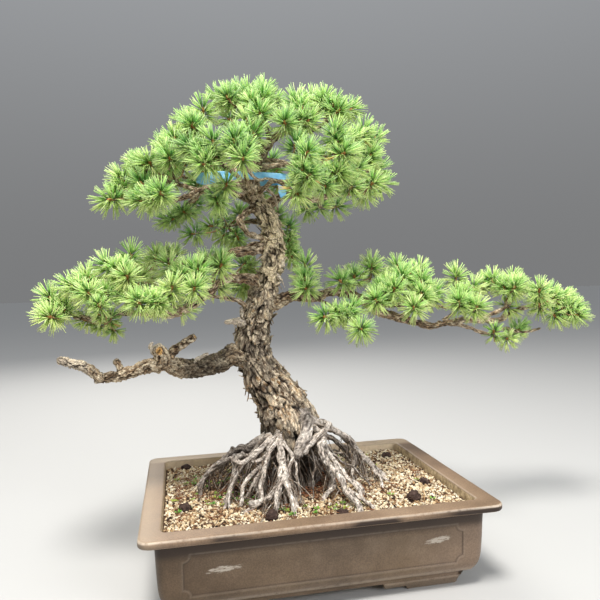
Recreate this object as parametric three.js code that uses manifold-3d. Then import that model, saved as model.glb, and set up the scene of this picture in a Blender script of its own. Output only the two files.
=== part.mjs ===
// A Japanese white pine bonsai in its shallow rectangular pot.
// Millimetres, +Z up, the front of the pot towards -Y.
// The tree's points are measured from the middle of the pot's underside.

import * as THREE from 'three';
import Module from 'manifold-3d';

const wasm = await Module();
wasm.setup();

// Driving dimensions
const POT_WIDTH = 450;
const POT_DEPTH = 347;
const POT_HEIGHT = 115;
const RIM_WIDTH = 26;
const RIM_CORNER_RADIUS = 14;
const FLOOR_TOP = 24;
const APRON_BOTTOM = 12.4;
const APRON_INSET = 40;
const FOOT_INSET = 45;
const FOOT_BAND = 17;
const DRAIN_OFFSET = 95;
const DRAIN_RADIUS = 15;
const SCREEN_SIZE = 48;
const SCREEN_THICKNESS = 1.4;
const SOIL_EDGE_HEIGHT = 103;
const SOIL_MOUND = 8;
const SOIL_MOUND_SPREAD = 95;
const SOIL_GRAIN = 1.5;
const SOIL_CELL = 29;
const ROOT_END_HEIGHT = 95;
const ROOT_TOUCHES_SOIL = 112;
const ROOT_CLEARANCE = 0.5;
const LUMP_SUNK = 4;
const LUMP_CLEARANCE = 0.45;
const GAP = 0.35;
const NEEDLE_LENGTH = 29;
const NEEDLES_AROUND = 5;
const BUD_RADIUS = 2.2;
const BUD_BAND = 4.2;
const BUD_CAP = 2.6;
const SHOOT_RADIUS = 1.7;
const STUB_LENGTH = 4;
const STUB_DIAMETER = 4;
const TWIG_DIAMETER = 6;
const STRAP_HEIGHT = 12;
const STRAP_THICKNESS = 1;

const WORLD_UP = new THREE.Vector3(0, 0, 1);
const vec = (p) => new THREE.Vector3(p[0], p[1], p[2]);

// A repeatable stream of numbers from 0 to 1.
function randomStream(seed) {
  let state = seed;
  return () => {
    state = (state * 16807) % 2147483647;
    return state / 2147483647;
  };
}

// Closed solids from points and triangles, and back

function signedVolume(points, triangles) {
  let sum = 0;
  for (const [a, b, c] of triangles) {
    sum += points[a].dot(points[b].clone().cross(points[c]));
  }
  return sum / 6;
}

function solidOf(points, triangles) {
  const outward = signedVolume(points, triangles) > 0;
  const order = outward ? triangles : triangles.map(([a, b, c]) => [a, c, b]);
  return new wasm.Manifold(new wasm.Mesh({
    numProp: 3,
    vertProperties: new Float32Array(points.flatMap((p) => [p.x, p.y, p.z])),
    triVerts: new Uint32Array(order.flat()),
  }));
}

function geometryOf(solid) {
  const mesh = solid.getMesh();
  const geometry = new THREE.BufferGeometry();
  geometry.setAttribute('position', new THREE.BufferAttribute(mesh.vertProperties, 3));
  geometry.setIndex(new THREE.BufferAttribute(mesh.triVerts, 1));
  geometry.computeVertexNormals();
  return geometry;
}

function joined(solids) {
  return solids.reduce((all, next) => all.add(next));
}

// A loft through rings with equal point counts. Its two ends are closed flat,
// or the last ring is joined to the first when looped.
function loft(rings, looped = false) {
  const count = rings[0].length;
  const points = rings.flat();
  const triangles = [];
  const spans = looped ? rings.length : rings.length - 1;
  for (let r = 0; r < spans; r += 1) {
    const low = r * count;
    const high = ((r + 1) % rings.length) * count;
    for (let k = 0; k < count; k += 1) {
      const next = (k + 1) % count;
      triangles.push([low + k, low + next, high + next], [low + k, high + next, high + k]);
    }
  }
  if (!looped) {
    const top = (rings.length - 1) * count;
    for (let k = 1; k < count - 1; k += 1) {
      triangles.push([0, k + 1, k], [top, top + k, top + k + 1]);
    }
  }
  return solidOf(points, triangles);
}

// Points sampled along a run of [x, y, z, diameter], with the frame carried along without twist.
function sampleRun(run, cuts) {
  const curve = new THREE.CatmullRomCurve3(run.map(vec), false, 'centripetal');
  const steps = (run.length - 1) * cuts;
  const samples = [];
  for (let i = 0; i <= steps; i += 1) {
    const along = i / cuts;
    const low = Math.min(Math.floor(along), run.length - 2);
    const radius = THREE.MathUtils.lerp(run[low][3], run[low + 1][3], along - low) / 2;
    samples.push({ centre: curve.getPoint(i / steps), radius });
  }
  let side = null;
  samples.forEach((sample, i) => {
    const before = samples[Math.max(i - 1, 0)].centre;
    const after = samples[Math.min(i + 1, steps)].centre;
    sample.along = after.clone().sub(before).normalize();
    if (!side) side = perpendicular(sample.along);
    side = side.clone().addScaledVector(sample.along, -side.dot(sample.along)).normalize();
    sample.side = side;
    sample.across = sample.along.clone().cross(side);
  });
  return samples;
}

function perpendicular(direction) {
  const helper = Math.abs(direction.z) < 0.9 ? WORLD_UP : new THREE.Vector3(1, 0, 0);
  return helper.clone().cross(direction).normalize();
}

// A tapering limb along a run; relief(angle, ring) swells or shrinks its radius.
function limbSolid(run, sides, cuts, { extra = 0, relief = () => 1 } = {}) {
  const rings = sampleRun(run, cuts).map((sample, i) => {
    const ring = [];
    for (let k = 0; k < sides; k += 1) {
      const angle = (2 * Math.PI * k) / sides;
      const radius = sample.radius * relief(angle, i) + extra;
      ring.push(sample.centre.clone()
        .addScaledVector(sample.side, radius * Math.cos(angle))
        .addScaledVector(sample.across, radius * Math.sin(angle)));
    }
    return ring;
  });
  return loft(rings);
}

// Pot

function roundedOutline(inset, z, radius) {
  const halfX = POT_WIDTH / 2 - inset;
  const halfY = POT_DEPTH / 2 - inset;
  const arcSteps = 2;
  const corners = [[1, 1, 0], [-1, 1, 1], [-1, -1, 2], [1, -1, 3]];
  return corners.flatMap(([sx, sy, quarter]) => {
    const arc = [];
    for (let i = 0; i <= arcSteps; i += 1) {
      const angle = (quarter + i / arcSteps) * Math.PI / 2;
      arc.push(new THREE.Vector3(
        sx * (halfX - radius) + radius * Math.cos(angle),
        sy * (halfY - radius) + radius * Math.sin(angle),
        z,
      ));
    }
    return arc;
  });
}

// Wall section as [inset from the rim's edge, height, corner radius],
// up the outside from the apron, over the rim and down the inside to the floor.
const WALL_SECTION = [
  [APRON_INSET, APRON_BOTTOM, 9],
  [APRON_INSET - 0.5, 18, 9],
  [31, 22.5, 11],
  [28, 27, 12],
  [25, 35, 13],
  [22, 57, 13],
  [20, 92, 13],
  [19.5, 104.5, 13],
  [1.5, 105, RIM_CORNER_RADIUS],
  [0, 107, RIM_CORNER_RADIUS],
  [0, 113, RIM_CORNER_RADIUS],
  [2, POT_HEIGHT, RIM_CORNER_RADIUS],
  [RIM_WIDTH - 2, POT_HEIGHT, 9],
  [RIM_WIDTH, 112.5, 8],
  [RIM_WIDTH + 2, 95, 8],
  [RIM_WIDTH + 8, 36, 8],
  [RIM_WIDTH + 14, FLOOR_TOP, 8],
];

function cavityRings(shrink, top) {
  const inside = WALL_SECTION.slice(-3).map(([inset, z, radius]) => [inset + shrink, z, radius]);
  inside[inside.length - 1][1] = FLOOR_TOP + shrink;
  const rings = inside.reverse().map(([inset, z, radius]) => roundedOutline(inset, z, radius));
  const [lip] = inside.slice(-1);
  rings.push(roundedOutline(lip[0], top, lip[2]));
  return rings;
}

function prism(outline, axis, from, to) {
  const place = {
    x: ([u, v], w) => new THREE.Vector3(w, u, v),
    y: ([u, v], w) => new THREE.Vector3(u, w, v),
    z: ([u, v], w) => new THREE.Vector3(u, v, w),
  }[axis];
  const shape = new THREE.Shape(outline.map(([u, v]) => new THREE.Vector2(u, v)));
  const flat = new THREE.ShapeGeometry(shape);
  const count = outline.length;
  const points = [...outline.map((p) => place(p, from)), ...outline.map((p) => place(p, to))];
  const index = Array.from(flat.index.array);
  const corner = flat.attributes.position;
  const order = index.map((i) => outline.findIndex(([u, v]) => (
    Math.abs(u - corner.getX(i)) < 1e-4 && Math.abs(v - corner.getY(i)) < 1e-4)));
  const triangles = [];
  for (let i = 0; i < order.length; i += 3) {
    const [a, b, c] = order.slice(i, i + 3);
    triangles.push([a, c, b], [a + count, b + count, c + count]);
  }
  const turn = Math.sign(THREE.ShapeUtils.area(shape.getPoints()));
  for (let k = 0; k < count; k += 1) {
    const next = (k + 1) % count;
    const walls = [[k, next, next + count], [k, next + count, k + count]];
    triangles.push(...(turn > 0 ? walls : walls.map(([a, b, c]) => [a, c, b])));
  }
  return solidOf(points, triangles);
}

function rectangle(halfU, halfV) {
  return [[-halfU, -halfV], [halfU, -halfV], [halfU, halfV], [-halfU, halfV]];
}

function circle(radius, sides) {
  return Array.from({ length: sides }, (_, k) => {
    const angle = (2 * Math.PI * k) / sides;
    return [radius * Math.cos(angle), radius * Math.sin(angle)];
  });
}

// The stepped gap between two feet: wide and low, then narrower and higher.
function footGap(wide, narrow, axis) {
  const low = -1;
  const step = 5;
  const steppedGap = [
    [-wide, low], [wide, low], [wide - 2, step], [narrow + 3, step],
    [narrow, APRON_BOTTOM], [-narrow, APRON_BOTTOM], [-narrow - 3, step], [2 - wide, step],
  ];
  return prism(steppedGap, axis, -POT_WIDTH / 2, POT_WIDTH / 2);
}

function potSolid() {
  const body = loft(WALL_SECTION.map(([inset, z, radius]) => roundedOutline(inset, z, radius)));
  const sunk = APRON_BOTTOM + 4;
  const footBand = loft([
    roundedOutline(APRON_INSET + 0.4, sunk, 9),
    roundedOutline(APRON_INSET + 0.6, APRON_BOTTOM, 9),
    roundedOutline(FOOT_INSET, 0, 8),
    roundedOutline(FOOT_INSET + FOOT_BAND, 0, 4),
    roundedOutline(FOOT_INSET + FOOT_BAND, sunk, 4),
  ], true);
  const feet = footBand.subtract(footGap(107, 74, 'y')).subtract(footGap(76, 50, 'x'));
  const drains = [-1, 1].map((side) => {
    const hole = circle(DRAIN_RADIUS, 12).map(([x, y]) => [x + side * DRAIN_OFFSET, y]);
    return prism(hole, 'z', -1, FLOOR_TOP + 1);
  });
  return drains.reduce((pot, drain) => pot.subtract(drain), body.add(feet));
}

// Screen over a drainage hole: a square of plastic mesh

function screenSolid(side) {
  const barWidth = 5;
  const openings = 2;
  const pitch = SCREEN_SIZE / openings;
  const low = FLOOR_TOP + GAP;
  const centre = ([x, y]) => [x + side * DRAIN_OFFSET, y];
  let plate = prism(rectangle(SCREEN_SIZE / 2, SCREEN_SIZE / 2).map(centre), 'z',
    low, low + SCREEN_THICKNESS);
  for (let i = 0; i < openings; i += 1) {
    for (let j = 0; j < openings; j += 1) {
      const middle = ([x, y]) => centre([x + (i - 0.5) * pitch, y + (j - 0.5) * pitch]);
      const hole = rectangle((pitch - barWidth) / 2, (pitch - barWidth) / 2).map(middle);
      plate = plate.subtract(prism(hole, 'z', low - 1, low + SCREEN_THICKNESS + 1));
    }
  }
  return plate;
}

function screenPocket(side) {
  const half = SCREEN_SIZE / 2 + 0.4;
  const outline = rectangle(half, half).map(([x, y]) => [x + side * DRAIN_OFFSET, y]);
  return prism(outline, 'z', FLOOR_TOP - 1, FLOOR_TOP + SCREEN_THICKNESS + 2 * GAP + 0.1);
}

// Tree: every run is [x, y, z, diameter], root end first

const TRUNK = [
  [-8, 5, 144, 46], [-8, 3, 156, 78], [-12, 0, 171, 87], [-17, 0, 190, 84], [-23, 0, 213, 77],
  [-34, 2, 236, 67], [-49, 4, 258, 60], [-58, 5, 277, 54], [-68, 6, 304, 49], [-69, 5, 320, 46],
  [-62, 3, 345, 44], [-56, 0, 365, 42], [-51, -2, 383, 37], [-45, -3, 405, 31],
  [-38, -3, 422, 31], [-35, -2, 440, 30], [-34, 0, 461, 28], [-35, 0, 478, 27],
  [-39, 0, 492, 28], [-48, 0, 505, 27], [-57, 0, 518, 24], [-64, 0, 531, 21], [-65, 0, 540, 17],
];

// Bare branch on the left with its pruned stubs, and the pointed dead wood above it
const BARE_BRANCH = [
  [-64, 5, 306, 30], [-86, 2, 301, 29], [-121, -5, 290, 29], [-148, -10, 286, 26],
  [-174, -15, 288, 26], [-194, -20, 294, 20], [-214, -25, 293, 15.5], [-237, -30, 286, 16],
  [-257, -30, 282, 13], [-273, -30, 281, 12], [-283, -30, 290, 12], [-298, -30, 299, 11],
  [-312, -30, 303, 11.5], [-327, -30, 309, 10.4],
];
const DEAD_STUBS = [
  [[-247, -30, 283, 8], [-249, -30, 296, 6], [-251, -30, 301, 5], [-259, -30, 303, 4]],
  [[-195, -21, 290, 18], [-195, -24, 306, 19], [-203, -27, 320, 14]],
  [[-192, -20, 298, 13], [-185, -22, 306, 12], [-167, -25, 320, 11], [-149, -28, 331, 10.5]],
  [[-278, -30, 288, 9], [-278, -28, 275, 6]],
  [[-68, 0, 345, 17], [-88, -8, 348, 12], [-100, -15, 348, 8], [-109, -20, 347, 2.5]],
  [[-40, -6, 424, 11], [-20, -12, 427, 9]],
];

// Living branches
const LIMBS = {
  right: [
    [-50, 0, 372, 24], [-32, -2, 374, 20], [-10, -5, 379, 15], [21, -6, 378, 13],
    [44, -4, 384, 12], [64, 0, 383, 12], [108, 2, 363, 13.4], [130, 0, 350, 13.5],
    [157, -4, 341, 12], [197, -8, 333, 10.6], [235, -5, 338, 9.2], [263, 0, 340, 9.3],
    [288, 2, 338, 9.3], [324, 2, 336, 7.8], [353, 0, 350, 6.3], [375, -4, 358, 4.7],
    [404, -8, 361, 4],
  ],
  rightFork: [[286, 2, 338, 7], [320, -6, 350, 5.5], [340, -8, 364, 4]],
  rightLower: [
    [215, -6, 334, 6], [259, 0, 327, 5.5], [301, 5, 313, 5], [340, 12, 319, 4.6],
    [366, 12, 311, 4.2], [396, 6, 318, 3.6],
  ],
  rightBack: [[108, 2, 363, 8], [150, 35, 362, 6], [205, 58, 360, 5], [255, 62, 356, 4]],
  leftMain: [
    [-50, 0, 400, 21], [-77, -10, 409, 15], [-90, -15, 408, 13.5], [-111, -25, 401, 12],
    [-129, -35, 386, 11], [-162, -36, 370, 10], [-186, -32, 363, 9], [-217, -25, 366, 8.5],
    [-243, -20, 367, 8], [-279, -15, 361, 6.5], [-308, -12, 361, 4.6],
  ],
  leftFork: [[-217, -25, 366, 7], [-240, -12, 388, 5.4], [-266, -8, 400, 4]],
  leftThin: [[-62, 0, 360, 9], [-85, -10, 374, 6], [-109, -15, 382, 5], [-131, -24, 386, 4]],
  leftUpper: [
    [-38, 0, 452, 21], [-68, 0, 451, 15.5], [-85, 0, 448, 16], [-100, 5, 444, 12],
    [-114, 10, 441, 9], [-138, 20, 436, 7], [-166, 30, 434, 6], [-190, 40, 436, 5],
    [-214, 50, 424, 4],
  ],
  loopBranch: [
    [-52, 0, 508, 12], [-68, -7, 504, 10], [-82, -15, 490, 9], [-80, -24, 482, 8],
    [-73, -21, 472, 8], [-61, -12, 468, 8], [-44, -4, 462, 8],
  ],
  crownLeft: [
    [-60, 0, 522, 17], [-76, -8, 533, 12], [-102, -20, 536, 10], [-129, -35, 531, 9],
    [-148, -42, 523, 8], [-170, -46, 514, 6.5], [-186, -52, 510, 5],
  ],
  crownLeftFork: [[-140, -38, 527, 7], [-165, -22, 538, 6], [-195, -10, 546, 5], [-216, -6, 545, 4]],
  crownLeftUnder: [[-129, -34, 530, 7], [-145, -5, 521, 5.5], [-158, 18, 512, 4]],
  crownUpLeft: [
    [-64, 0, 533, 15], [-81, -5, 547, 9], [-88, 0, 560, 8], [-105, 0, 567, 7],
    [-118, 4, 584, 6], [-128, 0, 600, 4.6],
  ],
  crownUpper: [
    [-64, 0, 528, 20], [-60, 0, 562, 15], [-47, 0, 588, 13], [-35, -5, 603, 12],
    [-15, -10, 615, 11], [12, -18, 614, 9], [35, -24, 621, 7], [48, -27, 628, 5],
  ],
  crownFront: [
    [-64, -4, 526, 10], [-69, -28, 531, 8], [-75, -50, 539, 7], [-83, -72, 550, 6],
    [-88, -94, 553, 4.6],
  ],
  crownFrontRight: [[-58, -4, 524, 9], [-50, -30, 531, 7], [-40, -55, 536, 6], [-24, -82, 530, 4.6]],
  crownRightMiddle: [[-58, 0, 563, 9], [-34, -20, 564, 7], [0, -42, 563, 6], [26, -62, 558, 4.6]],
  crownRightBack: [[-50, 0, 577, 9], [-30, 14, 578, 7.5], [0, 40, 580, 6.5], [50, 66, 582, 5]],
  crownRightLow: [
    [-48, 0, 508, 15], [-23, -6, 522, 11], [7, -28, 520, 9], [25, -40, 516, 8.5],
    [45, -44, 521, 8], [72, -38, 523, 7], [96, -22, 530, 5],
  ],
  crownRightUnder: [[25, -38, 516, 7], [33, -14, 511, 5.6], [39, 4, 509, 4.2]],
  crownBackLeft: [
    [-56, 4, 520, 13], [-74, 30, 529, 10], [-100, 58, 546, 8], [-130, 80, 562, 6.5],
    [-158, 84, 566, 5],
  ],
  crownBack: [[-54, 4, 572, 12], [-46, 50, 577, 9], [-45, 90, 583, 7], [-46, 112, 588, 5]],
  crownTopBack: [[-46, 0, 590, 10], [-50, 28, 622, 7], [-46, 42, 645, 5]],
  crownTop: [[-34, -5, 603, 8], [-42, -12, 624, 6], [-46, -16, 638, 4.6]],
  backMiddle: [[-36, 3, 470, 10], [-24, 24, 468, 7], [-14, 38, 464, 5]],
  backLoop: [[-40, 4, 490, 10], [-64, 28, 492, 7], [-84, 44, 490, 5]],
  leftInner: [[-44, 4, 400, 10], [-58, 30, 402, 7], [-66, 44, 401, 5]],
};

// Roots as a diameter at each end and the points between
const ROOTS = [
  [11, 8, [20, -34, 190], [18, -51, 172], [20, -69, 154], [28, -86, 141], [40, -110, 124], [49, -137, 106]],
  [7, 6, [20, -58, 158], [26, -60, 137], [27, -58, 120], [21, -57, 107]],
  [7, 5, [22, -44, 176], [38, -53, 148], [47, -63, 133], [60, -75, 120], [60, -84, 107]],
  [6, 5, [38, -104, 128], [56, -114, 115], [74, -122, 105]],
  [10, 7, [34, -8, 190], [55, -4, 178], [73, -2, 166], [83, -1, 150], [82, 2, 130], [75, 3, 107]],
  [8, 6, [70, 2, 168], [89, -2, 141], [105, -11, 127], [126, -25, 106]],
  [5, 4, [100, -8, 131], [105, -36, 117], [102, -62, 105]],
  [9, 6, [32, 18, 182], [54, 19, 177], [72, 17, 163], [88, 15, 143], [101, 12, 106]],
  [18, 15, [14, -36, 206], [2, -30, 184], [-8, -22, 166], [-11, -16, 154]],
  [10, 8, [-35, -33, 196], [-39, -51, 173], [-39, -65, 154], [-36, -79, 136], [-29, -106, 106]],
  [9, 6.5, [-34, -32, 198], [-52, -36, 176], [-58, -37, 158], [-64, -39, 130], [-63, -40, 107]],
  [5.5, 5, [-33, -34, 188], [-20, -18, 155], [-22, -2, 128], [-25, 5, 108]],
  [7, 6, [-39, -60, 162], [-46, -80, 140], [-59, -110, 105]],
  [14, 7, [-46, 0, 182], [-67, 10, 179], [-87, 23, 167], [-108, 38, 145], [-126, 52, 127], [-146, 68, 105]],
  [7, 5.5, [-97, 28, 158], [-113, 5, 148], [-138, 6, 126], [-150, 10, 105]],
  [8, 7, [-48, -26, 190], [-67, -14, 171], [-79, -3, 154], [-100, 16, 152]],
  [6, 5, [-86, 4, 156], [-98, -18, 151], [-104, -37, 135], [-120, -70, 105]],
  [6, 5, [-56, -36, 164], [-74, -48, 145], [-92, -58, 130], [-99, -79, 106]],
  [17, 12, [-18, 5, 162], [-26, 14, 130], [-32, 22, 108]],
  [15, 11, [6, 5, 162], [19, 12, 130], [30, 20, 108]],
  [13, 10, [-2, -14, 162], [5, -28, 130], [8, -38, 108]],
  [14, 10, [-5, 20, 166], [-6, 42, 132], [-10, 56, 108]],
  [10, 7, [-38, 22, 184], [-60, 56, 156], [-76, 88, 124], [-84, 106, 105]],
  [11, 7, [-15, 34, 188], [-20, 70, 154], [-18, 100, 124], [-14, 120, 105]],
  [10, 7, [14, 30, 184], [34, 64, 152], [46, 92, 122], [54, 108, 105]],
  [9, 6, [26, 22, 180], [60, 46, 155], [86, 68, 127], [100, 80, 105]],
  [8, 6, [-46, 14, 180], [-80, 48, 150], [-106, 78, 122], [-120, 92, 104]],
];

// Needle sprays: the shoot tips that each carries, in the order they leave the twig
const SPRAYS = {
  crown_left_tip: [[-262, -30, 515], [-243, -10, 549], [-241, 35, 533]],
  crown_left_front: [[-210, -70, 508], [-187, -100, 513], [-212, -45, 534]],
  crown_left_side: [[-217, 0, 563], [-201, -40, 561], [-229, 30, 585]],
  crown_left_upper: [[-175, -75, 560], [-168, -35, 593], [-191, 20, 610]],
  crown_left_shoulder: [[-129, -25, 636], [-145, -60, 605], [-158, 15, 636]],
  crown_top_left: [[-94, -20, 658], [-73, 10, 684], [-107, 35, 678]],
  crown_front_left: [[-134, -110, 547], [-122, -105, 574], [-150, -95, 570]],
  crown_front_middle: [[-89, -130, 550], [-97, -120, 572], [-72, -100, 586]],
  crown_front_low: [[-105, -75, 528], [-115, -60, 508]],
  crown_left_under: [[-158, 10, 504], [-183, 30, 490], [-140, 50, 522]],
  crown_behind_loop: [[-119, 40, 487], [-74, 60, 509], [-93, 60, 468]],
  crown_top_middle: [[-50, -45, 652], [-64, -15, 668], [-61, -90, 615], [-20, 20, 687]],
  crown_top_front: [[-5, -50, 643], [-29, -90, 605], [4, -75, 612]],
  crown_top_right: [[42, -20, 663], [53, -50, 634], [34, 25, 680]],
  crown_right_upper: [[39, -85, 594], [45, -100, 565], [75, -50, 596]],
  crown_right_side: [[95, -30, 612], [125, 0, 614], [108, -25, 578], [138, 12, 568]],
  crown_front_right: [[-8, -120, 559], [-6, -122, 532], [-18, -100, 514]],
  crown_right_middle: [[38, -92, 542], [20, -95, 524], [73, -62, 552]],
  crown_right_low: [[60, -80, 525], [100, -50, 533], [104, -15, 519], [137, -5, 543]],
  crown_right_under: [[43, 20, 516], [75, 45, 517], [28, 50, 515]],
  crown_behind_trunk: [[-3, 45, 484], [-7, 60, 458], [-1, 36, 441]],
  crown_back_left: [[-212, 62, 550], [-176, 98, 566], [-150, 75, 608]],
  crown_back_middle: [[-104, 120, 606], [-134, 114, 560], [-66, 140, 580]],
  crown_back_right: [[-10, 136, 604], [-26, 148, 552], [32, 130, 564]],
  crown_right_back: [[70, 104, 606], [107, 74, 572], [84, 108, 548]],
  crown_top_back: [[-40, 52, 688], [-84, 80, 656], [14, 56, 676]],
  left_tip: [[-332, -35, 364], [-335, -10, 387], [-325, 25, 377]],
  left_outer: [[-306, -20, 402], [-280, -60, 392], [-289, 12, 415]],
  left_outer_low: [[-268, -70, 370], [-297, 0, 344], [-262, 15, 334]],
  left_top: [[-261, -25, 427], [-232, 0, 443], [-233, -60, 412]],
  left_front: [[-218, -95, 380], [-193, -78, 379], [-178, -85, 396]],
  left_inner: [[-150, -85, 395], [-145, -60, 418], [-181, -30, 427]],
  left_near_trunk: [[-113, -45, 425], [-130, -12, 430]],
  left_back: [[-201, 50, 453], [-175, 68, 458], [-227, 70, 435]],
  left_behind: [[-63, 45, 424], [-84, 52, 398], [-66, 74, 392]],
  left_back_outer: [[-250, 72, 408], [-210, 92, 412], [-290, 55, 395]],
  right_near: [[6, -30, 391], [12, -5, 424]],
  right_stalk: [[57, -30, 400], [116, 10, 417]],
  right_hanging: [[25, -60, 352], [65, -50, 361], [68, -85, 335]],
  right_middle: [[98, -60, 372], [127, -55, 387], [134, 5, 395]],
  right_top: [[162, 20, 424], [154, -20, 402], [205, 35, 420]],
  right_middle_front: [[152, -65, 360], [178, -32, 395], [204, -14, 379]],
  right_far: [[248, 0, 403], [254, -50, 356], [232, -42, 364]],
  right_outer_top: [[318, 10, 398], [331, -24, 385], [372, 38, 404]],
  right_tip: [[365, -38, 378], [412, 2, 374], [439, -12, 350], [462, 28, 364]],
  right_under: [[338, 8, 303], [376, 36, 318]],
  right_back: [[150, 75, 378], [218, 82, 372], [285, 72, 366]],
};

// Middle of each cushion of foliage, which its tufts face away from
const CUSHION_CENTRES = {
  crown: [-58, 5, 540],
  left: [-190, -5, 350],
  right: [250, -5, 310],
};

// Low flutes along the trunk, a finer set across them and a little unevenness
function trunkRelief() {
  const random = randomStream(41);
  const flute = 0.035;
  const ripple = 0.03;
  const uneven = 0.06;
  return (angle, ring) => 1 + flute * Math.sin(3 * angle + 0.35 * ring)
    + ripple * Math.sin(7 * angle - 0.6 * ring) + uneven * (random() - 0.5);
}

// A root's run: a start inside the trunk where it grows from it, and an end under the soil.
function rootRun([thick, thin, ...path]) {
  const trunkFoot = 178;
  const [heartX, heartY] = [-14, 0];
  const points = path.map((p) => [...p]);
  const [x, y, z] = points[0];
  if (z > trunkFoot) points.unshift([(heartX + x) / 2, (heartY + y) / 2, z + 8]);
  const last = points.length - 1;
  if (points[last][2] < ROOT_TOUCHES_SOIL) {
    const [before, end] = points.slice(-2);
    const leaning = 0.3;
    const share = (leaning * (end[2] - ROOT_END_HEIGHT)) / (before[2] - end[2]);
    points[last] = [
      end[0] + share * (end[0] - before[0]), end[1] + share * (end[1] - before[1]), ROOT_END_HEIGHT,
    ];
  }
  return points.map((p, i) => [...p, THREE.MathUtils.lerp(thick, thin, i / last)]);
}

// Twigs: each spray's twig leaves the nearest limb a little nearer the trunk than the spray

function meanPoint(points) {
  const sum = new THREE.Vector3();
  points.forEach((p) => sum.add(vec(p)));
  return sum.divideScalar(points.length);
}

const limbSamples = Object.values(LIMBS).map((run) => sampleRun(run, 3));

function nearestOnLimbs(point) {
  let best = { distance: Infinity };
  limbSamples.forEach((samples) => samples.forEach((sample, index) => {
    const distance = sample.centre.distanceTo(point);
    if (distance < best.distance) best = { distance, samples, index };
  }));
  return best;
}

function planSpray(name, tips) {
  const middle = meanPoint(tips);
  const near = nearestOnLimbs(middle);
  const back = near.samples[Math.max(near.index - 2, 0)];
  const foot = near.samples[near.index].centre;
  const reach = Math.max(0.5 * foot.distanceTo(middle), back.radius + 3 * STUB_LENGTH);
  const hub = foot.clone().addScaledVector(middle.clone().sub(foot).normalize(), reach);
  const lead = hub.clone().sub(back.centre).normalize();
  const twigEnd = hub.clone().addScaledVector(lead, -STUB_LENGTH - GAP);
  const twigStart = Math.max(STUB_DIAMETER, Math.min(1.5 * back.radius, TWIG_DIAMETER));
  const twig = [
    [...back.centre.toArray(), twigStart],
    [...twigEnd.toArray(), STUB_DIAMETER],
  ];
  const cushion = vec(CUSHION_CENTRES[name.split('_')[0]]);
  const tufts = tips.map((tip) => {
    const point = vec(tip);
    const shoot = point.clone().sub(hub).normalize();
    const outward = point.clone().sub(cushion).normalize();
    const axis = shoot.clone().multiplyScalar(0.8)
      .addScaledVector(outward, 0.5).addScaledVector(WORLD_UP, 0.35).normalize();
    return { point, axis };
  });
  return { name, hub, lead, twig, tufts };
}

const sprayPlans = Object.entries(SPRAYS).map(([name, tips]) => planSpray(name, tips));

const limbSides = (run) => (run[0][3] > 12 ? 6 : 4 + Number(run[0][3] > 8));

function treeSolid() {
  const round = { relief: trunkRelief() };
  const parts = [limbSolid(TRUNK, 10, 1, round), limbSolid(BARE_BRANCH, 7, 1)];
  parts.push(...DEAD_STUBS.map((run) => limbSolid(run, 5, 1)));
  parts.push(...Object.values(LIMBS).map((run) => limbSolid(run, limbSides(run), 1)));
  parts.push(...ROOTS.map((root) => limbSolid(rootRun(root), 4, 1)));
  parts.push(...sprayPlans.map((plan) => limbSolid(plan.twig, 3, 1)));
  return joined(parts);
}

// Soil: a mound filling the pot, with plain holes for the roots and the feed lumps

function soilHeight(x, y) {
  const spread = (x * x + (y + 10) * (y + 10)) / (2 * SOIL_MOUND_SPREAD * SOIL_MOUND_SPREAD);
  return SOIL_EDGE_HEIGHT + SOIL_MOUND * Math.exp(-spread);
}

function soilBlock() {
  const random = randomStream(77);
  const columns = Math.round(POT_WIDTH / SOIL_CELL);
  const rows = Math.round(POT_DEPTH / SOIL_CELL);
  const points = [];
  for (let j = 0; j <= rows; j += 1) {
    for (let i = 0; i <= columns; i += 1) {
      const x = (i / columns - 0.5) * POT_WIDTH;
      const y = (j / rows - 0.5) * POT_DEPTH;
      points.push(new THREE.Vector3(x, y, soilHeight(x, y) + SOIL_GRAIN * (2 * random() - 1)));
    }
  }
  const at = (i, j) => j * (columns + 1) + i;
  const triangles = [];
  for (let j = 0; j < rows; j += 1) {
    for (let i = 0; i < columns; i += 1) {
      const [a, b, c, d] = [at(i, j), at(i + 1, j), at(i + 1, j + 1), at(i, j + 1)];
      triangles.push([a, b, c], [a, c, d]);
    }
  }
  const edge = [];
  for (let i = 0; i < columns; i += 1) edge.push(at(i, 0));
  for (let j = 0; j < rows; j += 1) edge.push(at(columns, j));
  for (let i = columns; i > 0; i -= 1) edge.push(at(i, rows));
  for (let j = rows; j > 0; j -= 1) edge.push(at(0, j));
  const base = points.length;
  edge.forEach((i) => points.push(new THREE.Vector3(points[i].x, points[i].y, 0)));
  edge.forEach((top, k) => {
    const next = (k + 1) % edge.length;
    triangles.push([top, base + k, base + next], [top, base + next, edge[next]]);
  });
  for (let k = 1; k < edge.length - 1; k += 1) triangles.push([base, base + k + 1, base + k]);
  return solidOf(points, triangles);
}

// Lumps of slow feed pressed into the soil: [x, y, width, height, seed]
const LUMPS = [
  [-170, -56, 17, 13, 3], [-166, 132, 16, 11, 5], [-65, -122, 17, 16, 7], [24, -130, 16, 10, 11],
  [131, -100, 19, 15, 13], [172, -41, 16, 11, 17], [165, 102, 17, 11, 19],
];

function soilSolid() {
  const filled = soilBlock().intersect(loft(cavityRings(GAP, POT_HEIGHT + 20)));
  const cutters = ROOTS.filter((root) => root[root.length - 1][2] < ROOT_TOUCHES_SOIL)
    .map((root) => limbSolid(rootRun(root), 4, 1, { extra: ROOT_CLEARANCE }));
  cutters.push(...LUMPS.map((lump) => lumpSolid(lump, LUMP_CLEARANCE)));
  cutters.push(screenPocket(-1), screenPocket(1));
  return cutters.reduce((soil, cutter) => soil.subtract(cutter), filled);
}

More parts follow.
